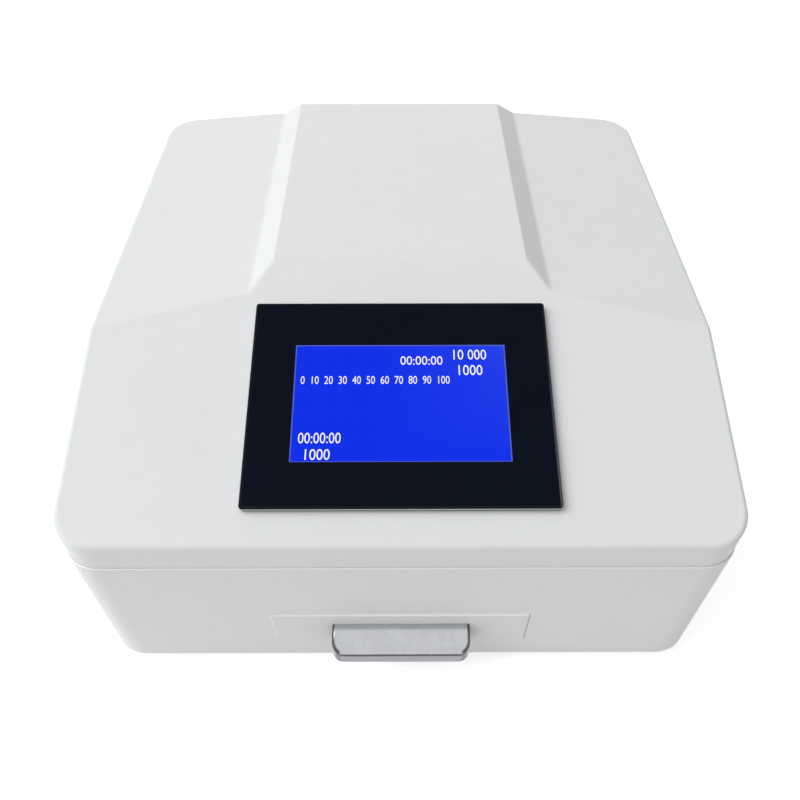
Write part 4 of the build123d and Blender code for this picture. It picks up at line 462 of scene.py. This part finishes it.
def flat_on(tree, middle, tilt):
    """Coordinates on a plane through middle that is turned about X by tilt."""
    turn = {"Location": middle, "Rotation": (tilt, 0, 0)}
    return put(tree, "Mapping", {"Vector": own_place(tree), **turn}, vector_type="TEXTURE").outputs[0]


def circuit_board(name, middle, tilt):
    """A board whose back lies on that plane. What stands over its thickness is a component."""
    material, tree, shader = new_material(name)
    flat = flat_on(tree, middle, tilt)
    tracks = put(
        tree,
        "TexBrick",
        {
            "Vector": flat,
            "Color1": (0.008, 0.10, 0.035),
            "Color2": (0.010, 0.13, 0.045),
            "Mortar": (0.03, 0.24, 0.10),
            "Scale": 40.0,
            "Mortar Size": 0.03,
            "Brick Width": 0.7,
            "Row Height": 0.12,
        },
    ).outputs
    dots = put(tree, "TexVoronoi", {"Vector": flat, "Scale": 240.0, "Randomness": 0.35}).outputs["Distance"]
    tinned = mix(tree, ramp(tree, dots, 0.22, 0.18), tracks["Color"], (0.62, 0.62, 0.58))
    grit = noise(tree, own_place(tree), scale=500.0, detail=2.0)
    body = mix(tree, grit, (0.010, 0.010, 0.011), (0.045, 0.045, 0.048))
    on_top = above(tree, axes_of(tree, flat)["Z"], board_thickness + 2 * hair)
    feed(
        tree,
        shader,
        {
            "Base Color": mix(tree, on_top, tinned, body),
            "Roughness": between(tree, on_top, 0.28, 0.55),
            "Normal": relief(tree, tracks["Fac"], strength=0.15, distance=0.0002),
        },
    )
    return material


level_back = (0, 0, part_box("control_board")[0].z)
dress(circuit_board("circuit_board", level_back, tilt=0.0), "charger_board", "control_board")
slope_tilt = radians(17.1)
slope_out = Vector((0, -sin(slope_tilt), cos(slope_tilt)))
board_depth = 0.019
slope_middle = Vector((0, -0.13783, 0.21131))
panel_back = slope_middle - slope_out * board_depth
dress(circuit_board("panel_circuit_board", panel_back, slope_tilt), "panel_board")


# Drawer sensor: a slotted light gate in black plastic, on a moulded post that stands on the case's floor.
# The drawer's flag stands in the slot when the drawer is shut.
sensor_skin = {"mottle": 0.2, "gloss": 0.4, "spread": 0.15, "grain": 0.2, "fineness": 1100.0}
dress(moulded("sensor_plastic", (0.014, 0.014, 0.016), **sensor_skin), "drawer_sensor", "sensor_post")


# Drawer: a white moulded front over a dark grey tray, with a studded rubber mat in the drive's pocket.
# The front is of the same plastic as the case, and its edge has a painted highlight at the top and left.
drawer_plastic = moulded("drawer_plastic", (0.815, 0.825, 0.815), gloss=0.36, **case_skin)
paint_edge_highlight(drawer_plastic, reach=(-0.0010, -0.0007), depth=(0.0016, 0.0011), right=(-0.0010, -0.0013))
dress(drawer_plastic, "drawer_front")
tray_skin = {"mottle": 0.25, "gloss": 0.46, "spread": 0.15, "grain": 0.35, "fineness": 900.0}
dress(moulded("tray_plastic", (0.055, 0.057, 0.060), **tray_skin), "drawer_tray")
mat_rubber, tree, shader = new_material("mat_rubber")
place = own_place(tree)
from_stud = put(tree, "TexVoronoi", {"Vector": place, "Scale": 170.0, "Randomness": 0.0}).outputs["Distance"]
stud = ramp(tree, from_stud, 0.42, 0.30)
# The colour is lighter on the studs and in clouds.
stud_and_cloud_tone = calc(tree, "MULTIPLY_ADD", stud, 0.5, noise(tree, place, scale=60.0, detail=5.0))
feed(
    tree,
    shader,
    {
        "Base Color": mix(tree, stud_and_cloud_tone, (0.010, 0.011, 0.012), (0.045, 0.047, 0.050)),
        "Roughness": 0.75,
        "Normal": relief(tree, stud, strength=0.8, distance=0.0008),
    },
)
dress(mat_rubber, "tray_mat")


# Cross-head screws, headed from steel wire and blackened: the drawer's, the fan's and the mains inlet's.
# Each is modelled once, its head domed and its recess punched, then copied to its places.
dome_share = 0.62
recess_width_share = 0.24
recess_arm_share = 0.52
recess_depth_share = 0.75
recess_stretch = 4.0
face_rear = radians(-90)


def select_faces(mesh, chosen):
    """Selects only the faces that chosen accepts, in edit mode."""
    bpy.ops.mesh.select_all(action="DESELECT")
    bpy.ops.object.mode_set(mode="OBJECT")
    for face in mesh.polygons:
        face.select = chosen(face)
    bpy.ops.object.mode_set(mode="EDIT")


def join(pieces, name):
    """Joins pieces into one of that name."""
    bpy.ops.object.select_all(action="DESELECT")
    for piece in pieces:
        piece.select_set(True)
    bpy.context.view_layer.objects.active = pieces[0]
    bpy.ops.object.join()
    pieces[0].name = name
    return pieces[0]


def cross_head_screws(name, places, head_radius, head_height, shank_radius, shank_length):
    """Pan-head screws seated at places, with their heads to the rear, as one piece."""
    bpy.ops.object.select_all(action="DESELECT")
    bpy.ops.mesh.primitive_cylinder_add(
        vertices=28, radius=head_radius, depth=head_height, location=(0, 0, head_height / 2)
    )
    screw = bpy.context.object
    bpy.ops.object.transform_apply(location=True)
    bpy.ops.object.mode_set(mode="EDIT")
    bpy.ops.mesh.select_mode(type="FACE")
    select_faces(screw.data, lambda face: face.normal.z > 0.9)
    bpy.ops.mesh.region_to_loop()
    bpy.ops.mesh.bevel(offset=head_height * dome_share, segments=5, profile=0.5)
    select_faces(screw.data, lambda face: face.normal.z < -0.9)
    bpy.ops.mesh.inset(thickness=head_radius - shank_radius)
    bpy.ops.mesh.extrude_region_move(TRANSFORM_OT_translate={"value": (0, 0, -shank_length)})
    bpy.ops.object.mode_set(mode="OBJECT")
    bpy.ops.object.select_all(action="DESELECT")
    bpy.ops.mesh.primitive_cube_add(size=head_radius * recess_width_share, location=(0, 0, head_height))
    recess = bpy.context.object
    bpy.ops.object.transform_apply(location=True)
    bpy.ops.object.mode_set(mode="EDIT")
    select_faces(recess.data, lambda face: abs(face.normal.z) < 0.5)
    bpy.ops.mesh.extrude_faces_move(TRANSFORM_OT_shrink_fatten={"value": head_radius * recess_arm_share})
    bpy.ops.object.mode_set(mode="OBJECT")
    sunk = Matrix.Translation((0, 0, -head_height * recess_depth_share))
    recess.data.transform(Matrix.Diagonal((1, 1, recess_stretch, 1)) @ sunk)
    bpy.ops.object.select_all(action="DESELECT")
    screw.select_set(True)
    bpy.context.view_layer.objects.active = screw
    punch = screw.modifiers.new("punch", "BOOLEAN")
    punch.operation = "DIFFERENCE"
    punch.object = recess
    bpy.ops.object.modifier_apply(modifier="punch")
    bpy.data.objects.remove(recess)
    bpy.ops.object.shade_smooth_by_angle(angle=radians(40))
    copies = []
    for place in places:
        copy = bpy.data.objects.new(name, screw.data.copy())
        copy.data.transform(Matrix.Translation(place) @ Matrix.Rotation(face_rear, 4, "X"))
        bpy.context.scene.collection.objects.link(copy)
        copies.append(copy)
    bpy.data.objects.remove(screw)
    return join(copies, name)


for name, node, body, rows, head_radius, head_height, shank_radius in (
    ("fan_screw_set", "fan_screws", "case", 2, 0.0036, 0.0026, 0.0020),
    ("inlet_screw_set", "inlet_screws", "case", 1, 0.0028, 0.0020, 0.0015),
    ("handle_screw_set", "handle_screws", "drawer", 1, 0.0036, 0.0026, 0.0020),
):
    low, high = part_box(node)
    seat = high.y - head_height
    xs = [low.x + head_radius, high.x - head_radius]
    zs = [(low.z + high.z) / 2] if rows == 1 else [low.z + head_radius, high.z - head_radius]
    places = [Vector((x, seat, z)) for x in xs for z in zs]
    piece = cross_head_screws(name, places, head_radius, head_height, shank_radius, seat - low.y)
    piece.data.materials.clear()
    piece.data.materials.append(black_screw)
    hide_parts(node)
    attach(piece, body)
dress(black_screw, "tray_screws")


# Cup handle: die-cast zinc, polished and chromed, screwed to the drawer front from inside.
# The chrome is satin, with finger marks and fine polishing lines. Its lip, the line where the metal turns over and
# its
# ends are painted darker: painted reflections of dark surroundings.
handle_chrome, tree, shader = new_material("handle_chrome")
fold_y, fold_z, lip_blur = -0.2662, 0.0572, 0.0008
corner_x, corner_y = 0.0455, -0.2575
fold_reflection_reach, end_reflection_reach = (0.0015, 0.0007), (0.0062, 0.0076)
lip_reflection_tone, line_reflection_tone = 0.46, 0.16
place = own_place(tree)
axes = axes_of(tree, place)
marks = noise(tree, place, scale=90.0, detail=5.0, distortion=0.6)
polish = put(tree, "Mapping", {"Vector": place, "Scale": (30, 900, 900)}).outputs[0]
lines = noise(tree, polish, scale=1.0, detail=2.0)
worn = calc(tree, "MULTIPLY_ADD", lines, 0.4, marks)
# The lip, the line along the turn and the ends are painted darker: painted reflections of dark surroundings.
lip = ramp(tree, axes["Z"], fold_z + lip_blur, fold_z - lip_blur)
from_fold = put(tree, "Mapping", {"Vector": place, "Location": (0, -fold_y, -fold_z), "Scale": (0, 1, 1)})
fold = ramp(tree, vector_calc(tree, "LENGTH", from_fold.outputs[0]), *fold_reflection_reach)
outward = calc(tree, "ABSOLUTE", axes["X"])
past_x = calc(tree, "MAXIMUM", calc(tree, "SUBTRACT", outward, corner_x), 0.0)
past_y = calc(tree, "MAXIMUM", calc(tree, "SUBTRACT", corner_y, axes["Y"]), 0.0)
from_corner = vector_calc(tree, "LENGTH", put(tree, "CombineXYZ", {"X": past_x, "Y": past_y}).outputs[0])
turned = ramp(tree, outward, corner_x + 0.0015, corner_x + 0.0035)
end = calc(tree, "MULTIPLY", ramp(tree, from_corner, *end_reflection_reach), turned)
dark = calc(tree, "MAXIMUM", fold, end)
shade = between(tree, dark, between(tree, lip, 1.0, lip_reflection_tone), line_reflection_tone)
chrome = mix(tree, marks, (0.47, 0.485, 0.52), (0.60, 0.615, 0.645))
feed(
    tree,
    shader,
    {
        "Base Color": shaded(tree, shade, chrome),
        "Roughness": ramp(tree, worn, 0.4, 1.0, 0.06, 0.24),
        "Normal": relief(tree, lines, strength=0.02, distance=0.0003),
        "Metallic": 1.0,
    },
)
dress(handle_chrome, "drawer_handle")


# Cooling fan and its grille: black glass-filled plastic, matt, with the fibre's pale flecks in the skin.
# The frame and the grille are held to the back wall by the same four screws; the rotor turns on its shaft.
fan_skin = {"mottle": 0.35, "gloss": 0.55, "spread": 0.2, "grain": 0.4, "fineness": 1000.0}
grille_skin = {"mottle": 0.25, "gloss": 0.48, "spread": 0.15, "grain": 0.3, "fineness": 1200.0}
dress(moulded("fan_plastic", (0.020, 0.020, 0.022), **fan_skin), "fan_frame", "fan_rotor")
dress(moulded("grille_plastic", (0.028, 0.028, 0.030), **grille_skin), "fan_grille")


# Mains inlet and power switch: black moulded bodies snapped and screwed into the back wall, with brass pins
# in the socket, and a rocker with a stroke on one half and a ring on the other, both in white paint.
inlet_skin = {"mottle": 0.15, "spread": 0.12, "fineness": 1300.0}
dress(moulded("inlet_plastic", (0.016, 0.016, 0.018), gloss=0.36, grain=0.2, **inlet_skin), "power_inlet")
dress(moulded("switch_plastic", (0.018, 0.018, 0.020), gloss=0.32, grain=0.15, **inlet_skin), "switch_body")
dress(moulded("rocker_plastic", (0.024, 0.024, 0.026), gloss=0.26, grain=0.10, **inlet_skin), "rocker")
dress(drawn("pin_brass", (0.83, 0.64, 0.30), along=(900, 20, 900), gloss=0.20, tarnish=0.25), "inlet_pins")
paint_skin = {"mottle": 0.10, "gloss": 0.50, "spread": 0.10, "grain": 0.10, "fineness": 1600.0}
mark_paint = moulded("mark_paint", (0.80, 0.80, 0.78), **paint_skin)
rocker_pivot = Vector((-0.1215, 0.2575, 0.076))
rocker_tilt = radians(10)
half_tilt = radians(8.65)
rocker_out = Vector((0, cos(rocker_tilt), sin(rocker_tilt)))
rocker_up = Vector((0, -sin(rocker_tilt), cos(rocker_tilt)))
rocker_half_height = 0.0115
hollow_depth = 0.00175
mark_rise = 0.0060
mark_out = hollow_depth + hollow_depth * mark_rise / rocker_half_height
paint_thickness = 0.00008
ring_radius, ring_width = 0.0024, 0.0006
stroke_width, stroke_times, stroke_round = 0.0008, 6, 0.0002


def thicken_paint():
    """Gives the flat mark in edit mode the paint's thickness, and ends edit mode."""
    bpy.ops.mesh.select_all(action="SELECT")
    bpy.ops.mesh.extrude_region_move(TRANSFORM_OT_translate={"value": (0, 0, paint_thickness)})
    bpy.ops.mesh.select_all(action="SELECT")
    bpy.ops.mesh.normals_make_consistent(inside=False)
    bpy.ops.object.mode_set(mode="OBJECT")


bpy.ops.object.select_all(action="DESELECT")
bpy.ops.mesh.primitive_circle_add(vertices=40, radius=ring_radius, fill_type="NGON")
ring = bpy.context.object
ring.name = "rocker_ring"
bpy.ops.object.mode_set(mode="EDIT")
bpy.ops.mesh.select_mode(type="FACE")
bpy.ops.mesh.select_all(action="SELECT")
bpy.ops.mesh.inset(thickness=ring_width)
bpy.ops.mesh.delete(type="FACE")
thicken_paint()
bpy.ops.object.select_all(action="DESELECT")
bpy.ops.mesh.primitive_plane_add(size=stroke_width)
stroke = bpy.context.object
stroke.name = "rocker_stroke"
bpy.ops.object.mode_set(mode="EDIT")
bpy.ops.mesh.select_all(action="SELECT")
bpy.ops.transform.resize(value=(1, stroke_times, 1))
bpy.ops.mesh.bevel(offset=stroke_round, segments=3, affect="VERTICES")
thicken_paint()
for mark, side in ((stroke, 1), (ring, -1)):
    middle = rocker_pivot + rocker_out * mark_out + rocker_up * mark_rise * side
    turn = face_rear + rocker_tilt - half_tilt * side
    mark.data.transform(Matrix.Translation(middle) @ Matrix.Rotation(turn, 4, "X"))
    mark.data.materials.append(mark_paint)
    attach(mark, "power_rocker")


# Operator panel: a foam gasket, a black moulded bezel, a glossy printed film over it, and the lit screen behind
# the film's window. The box and its board hang inside the cover, and clamps pull the bezel down from inside.
foam_skin = {"mottle": 0.5, "gloss": 0.85, "spread": 0.1, "grain": 0.7, "fineness": 1600.0, "specular": 0.2}
box_skin = {"mottle": 0.2, "gloss": 0.5, "spread": 0.15, "grain": 0.35, "fineness": 900.0}
film_skin = {"mottle": 0.15, "gloss": 0.30, "spread": 0.20, "grain": 0.03, "fineness": 1800.0, "specular": 0.015}
bezel_skin = {"mottle": 0.15, "gloss": 0.24, "spread": 0.10, "grain": 0.05, "fineness": 1500.0, "specular": 0.10}
dress(moulded("gasket_foam", (0.025, 0.025, 0.027), **foam_skin), "panel_gasket")
dress(moulded("panel_box_plastic", (0.035, 0.036, 0.039), **box_skin), "panel_box")
dress(moulded("overlay_film", (0.0040, 0.0064, 0.0148), **film_skin), "touch_overlay")
panel_middle = Vector((0, -0.13927, 0.21087))
bezel_plastic = moulded("bezel_plastic", (0.0042, 0.0054, 0.0095), **bezel_skin)
tree = bezel_plastic.node_tree
axes = axes_of(tree, flat_on(tree, panel_middle, slope_tilt))
rim_x = 0.1110
wall_line_z, wall_line_half = 0.0036, 0.0015
rim_highlight_start, rim_highlight_full = 0.06, -0.05
# The rim is painted lighter along its right side, fading in towards its lower end: a painted highlight.
on_rim = ramp(tree, axes["X"], rim_x, rim_x + 0.0004)
rim_painted_highlight = calc(tree, "MULTIPLY", on_rim, ramp(tree, axes["Y"], rim_highlight_start, rim_highlight_full))
lighten(bezel_plastic, rim_painted_highlight, (0.075, 0.076, 0.090))
# A pale band round the bezel's side wall, a painted highlight along its edge.
off_line = calc(tree, "ABSOLUTE", calc(tree, "SUBTRACT", axes["Z"], wall_line_z))
wall_painted_highlight = ramp(tree, off_line, wall_line_half + hair, wall_line_half - hair)
lighten(bezel_plastic, wall_painted_highlight, (0.50, 0.50, 0.52))
dress(bezel_plastic, "panel_bezel")
screen_glass, tree, shader = new_material("screen_glass")
window_half = {"X": 0.080, "Y": 0.048}
edge_width, edge_blur = 0.0011, 0.0005
flat = flat_on(tree, panel_middle, slope_tilt)
axes = axes_of(tree, flat)
edge_x, edge_y = (
    ramp(tree, calc(tree, "ABSOLUTE", axes[axis]), half - edge_width, half - edge_width + edge_blur)
    for axis, half in window_half.items()
)
edge = calc(tree, "MAXIMUM", edge_x, edge_y)
corner = calc(tree, "MULTIPLY", ramp(tree, axes["X"], -0.02, 0.08), ramp(tree, axes["Y"], -0.05, 0.05))
haze = calc(tree, "MULTIPLY", corner, noise(tree, flat, scale=14.0, detail=2.0))
blue = mix(tree, haze, (0.0050, 0.030, 0.81), (0.035, 0.075, 0.86))
rows = put(tree, "TexWave", {"Vector": flat, "Scale": 600.0}, bands_direction="Y").outputs["Fac"]
lined = shaded(tree, between(tree, rows, 0.97, 1.0), blue)
feed(
    tree,
    shader,
    {
        "Emission Color": mix(tree, edge, lined, (0.10, 0.13, 0.55)),
        "Emission Strength": 1.0,
        "Base Color": (0.001, 0.001, 0.002),
        "Roughness": 0.22,
        "Specular IOR Level": 0.01,
    },
)
dress(screen_glass, "screen")


# Screen figures: the numbers that the display shows, a thin lit layer on the screen's face.
# They are two clocks, three counts and a charge scale, in narrow white figures.
figure_layer = 0.00003
figure_height_over_panel = 0.00504


def figure_line(words, width, tall, x, y):
    """A line of figures of that width and height, with its middle x and y from the window's middle."""
    bpy.ops.object.select_all(action="DESELECT")
    bpy.ops.object.text_add()
    line = bpy.context.object
    line.data.body = words
    line.data.resolution_u = 4
    line.data.extrude = figure_layer
    bpy.ops.object.convert(target="MESH")
    line = bpy.context.object
    xs = [vertex.co.x for vertex in line.data.vertices]
    ys = [vertex.co.y for vertex in line.data.vertices]
    line.data.transform(Matrix.Translation((-(min(xs) + max(xs)) / 2, -(min(ys) + max(ys)) / 2, 0)))
    line.data.transform(Matrix.Diagonal((width / (max(xs) - min(xs)), tall / (max(ys) - min(ys)), 1, 1)))
    line.data.transform(Matrix.Translation((x, y, 0)))
    return line


figures = join(
    [
        figure_line("00:00:00", 0.032, 0.0074, 0.016, 0.0345),
        figure_line("10 000", 0.025, 0.0086, 0.053, 0.0395),
        figure_line("1000", 0.018, 0.0086, 0.053, 0.0262),
        figure_line("0  10  20  30  40  50  60  70  80  90  100", 0.112, 0.0066, -0.019, 0.0180),
        figure_line("00:00:00", 0.031, 0.0084, -0.059, -0.0290),
        figure_line("1000", 0.018, 0.0084, -0.060, -0.0418),
    ],
    "screen_figures",
)
on_screen = Matrix.Translation(panel_middle + slope_out * figure_height_over_panel)
figures.data.transform(on_screen @ Matrix.Rotation(slope_tilt, 4, "X"))
lit_white, tree, shader = new_material("lit_white")
dots = noise(tree, own_place(tree), scale=900.0, detail=1.0)
feed(
    tree,
    shader,
    {
        "Emission Color": mix(tree, dots, (0.86, 0.88, 0.98), (0.97, 0.98, 1.0)),
        "Emission Strength": 1.0,
        "Base Color": (0.02, 0.02, 0.03),
        "Specular IOR Level": 0.1,
    },
)
figures.data.materials.append(lit_white)
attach(figures, "case")


# Top cover: one white ABS moulding with a raised spine, screwed down from below over the base's tongue.
# It is the same plastic as the base, with a slightly brighter, smoother skin.
cover_plastic = moulded("cover_plastic", (0.818, 0.842, 0.838), gloss=0.34, **case_skin)
dress(cover_plastic, "top_cover")


# Seam bead: a thin white silicone cord laid in the step between the cover and the base; its pale line is a painted
# highlight along the seam.
# It is bent round the case's corners and pressed in as the cover goes on.
bead_radius = 0.00058
seam_height = 0.142
case_corner = 0.030
base_low, base_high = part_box("base_shell")
bead_half = (base_high - base_low) / 2 - Vector((bead_radius, bead_radius, 0))
bead_middle = (base_low + base_high) / 2
bpy.ops.object.select_all(action="DESELECT")
bpy.ops.mesh.primitive_plane_add(size=2)
bead = bpy.context.object
bead.name = "seam_bead"
bpy.ops.object.mode_set(mode="EDIT")
bpy.ops.mesh.select_all(action="SELECT")
bpy.ops.transform.resize(value=(bead_half.x, bead_half.y, 1))
bpy.ops.mesh.bevel(offset=case_corner - bead_radius, segments=14, affect="VERTICES")
bpy.ops.mesh.select_all(action="SELECT")
bpy.ops.mesh.delete(type="ONLY_FACE")
bpy.ops.object.mode_set(mode="OBJECT")
bpy.ops.object.convert(target="CURVE")
bead.data.bevel_depth = bead_radius
bead.data.bevel_resolution = 3
bpy.ops.object.convert(target="MESH")
bead_z = base_low.z + seam_height + bead_radius
bead.data.transform(Matrix.Translation((bead_middle.x, bead_middle.y, bead_z)))
bpy.ops.object.shade_smooth_by_angle(angle=radians(60))
silicone_skin = {"mottle": 0.03, "gloss": 0.22, "spread": 0.10, "grain": 0.05, "fineness": 1500.0}
# The bead's white is a painted highlight along the seam.
bead.data.materials.append(moulded("bead_silicone_highlight", (0.96, 0.96, 0.95), **silicone_skin))
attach(bead, "case")


# Floor: a pale seamless table top, greyer beside the machine, where it would throw too much light on its sides.
# It shows white to the camera and keeps the machine's soft shadow.
def shown(tree):
    """1 for rays that show the surroundings to the camera, straight or in gloss or glass."""
    path = put(tree, "LightPath", {}).outputs
    mirrored = calc(tree, "MAXIMUM", path["Is Glossy Ray"], path["Is Transmission Ray"])
    return calc(tree, "MAXIMUM", path["Is Camera Ray"], mirrored)


floor_size = 8
grey_sides, grey_rear = (0.22, 0.40), (-0.50, -0.20)
bpy.ops.object.select_all(action="DESELECT")
bpy.ops.mesh.primitive_plane_add(size=floor_size)
floor = bpy.context.object
floor.name = "floor"
bpy.ops.object.mode_set(mode="EDIT")
bpy.ops.mesh.select_all(action="SELECT")
bpy.ops.mesh.subdivide(number_cuts=3)
bpy.ops.object.mode_set(mode="OBJECT")
table_white, tree, shader = new_material("table_white")
place = own_place(tree)
axes = axes_of(tree, place)
pale = mix(tree, noise(tree, place, scale=3.0, detail=2.0), (0.90, 0.90, 0.90), (0.94, 0.94, 0.94))
beside = ramp(tree, calc(tree, "ABSOLUTE", axes["X"]), *grey_sides)
greyer = calc(tree, "MULTIPLY", beside, ramp(tree, axes["Y"], *grey_rear))
table = {"Base Color": mix(tree, greyer, pale, (0.46, 0.46, 0.46)), "Roughness": 0.9, "Specular IOR Level": 0.0}
feed(tree, shader, table)
glow = calc(tree, "MULTIPLY", shown(tree), between(tree, greyer, 0.58, 0.78))
shine = put(tree, "Emission", {"Color": (1, 1, 1), "Strength": glow}).outputs[0]
both = put(tree, "AddShader", {0: shader.outputs[0], 1: shine}).outputs[0]
feed(tree, tree.nodes["Material Output"], {"Surface": both})
floor.data.materials.append(table_white)


# Studio light: a white surround, brighter on the left and overhead, and one large soft lamp far off at the left.
# The camera, gloss and glass see the surround as plain white.
world = bpy.data.worlds.new("studio")
bpy.context.scene.world = world
world.use_nodes = True
tree = world.node_tree
direction = axes_of(tree, put(tree, "TexCoord", {}).outputs["Generated"])
side_level = ramp(tree, direction["X"], -1.0, 1.0, 0.93, 0.20)
height_level = between(tree, direction["Z"], -0.20, 0.10)
soft_level = calc(tree, "MAXIMUM", calc(tree, "ADD", side_level, height_level), 0.0)
level = between(tree, shown(tree), soft_level, 1.0)
feed(tree, tree.nodes["Background"], {"Color": (1, 1, 1), "Strength": level})
lamp = bpy.data.lights.new("left_softbox", "AREA")
lamp.shape = "SQUARE"
lamp.size = 4.7
lamp.energy = 236
lamp_target = Vector((0, 0, 0.15))
softbox = bpy.data.objects.new("left_softbox", lamp)
softbox.location = (-4.45, -0.5, 5.5)
softbox.rotation_euler = (lamp_target - softbox.location).to_track_quat("-Z", "Y").to_euler()
bpy.context.scene.collection.objects.link(softbox)


# Camera: in front of the machine and above it, at the photograph's viewing angle.
# Its place and lens come from the case's straight edges in the photograph.
view = bpy.data.cameras.new("camera")
view.lens = 33.77
view.sensor_width = 36
camera = bpy.data.objects.new("camera", view)
camera.location = (-0.00166, -0.5144, 0.6282)
camera.rotation_euler = (radians(42.29), 0, radians(-0.19))
bpy.context.scene.collection.objects.link(camera)
bpy.context.scene.camera = camera
bpy.context.scene.view_settings.view_transform = "Standard"
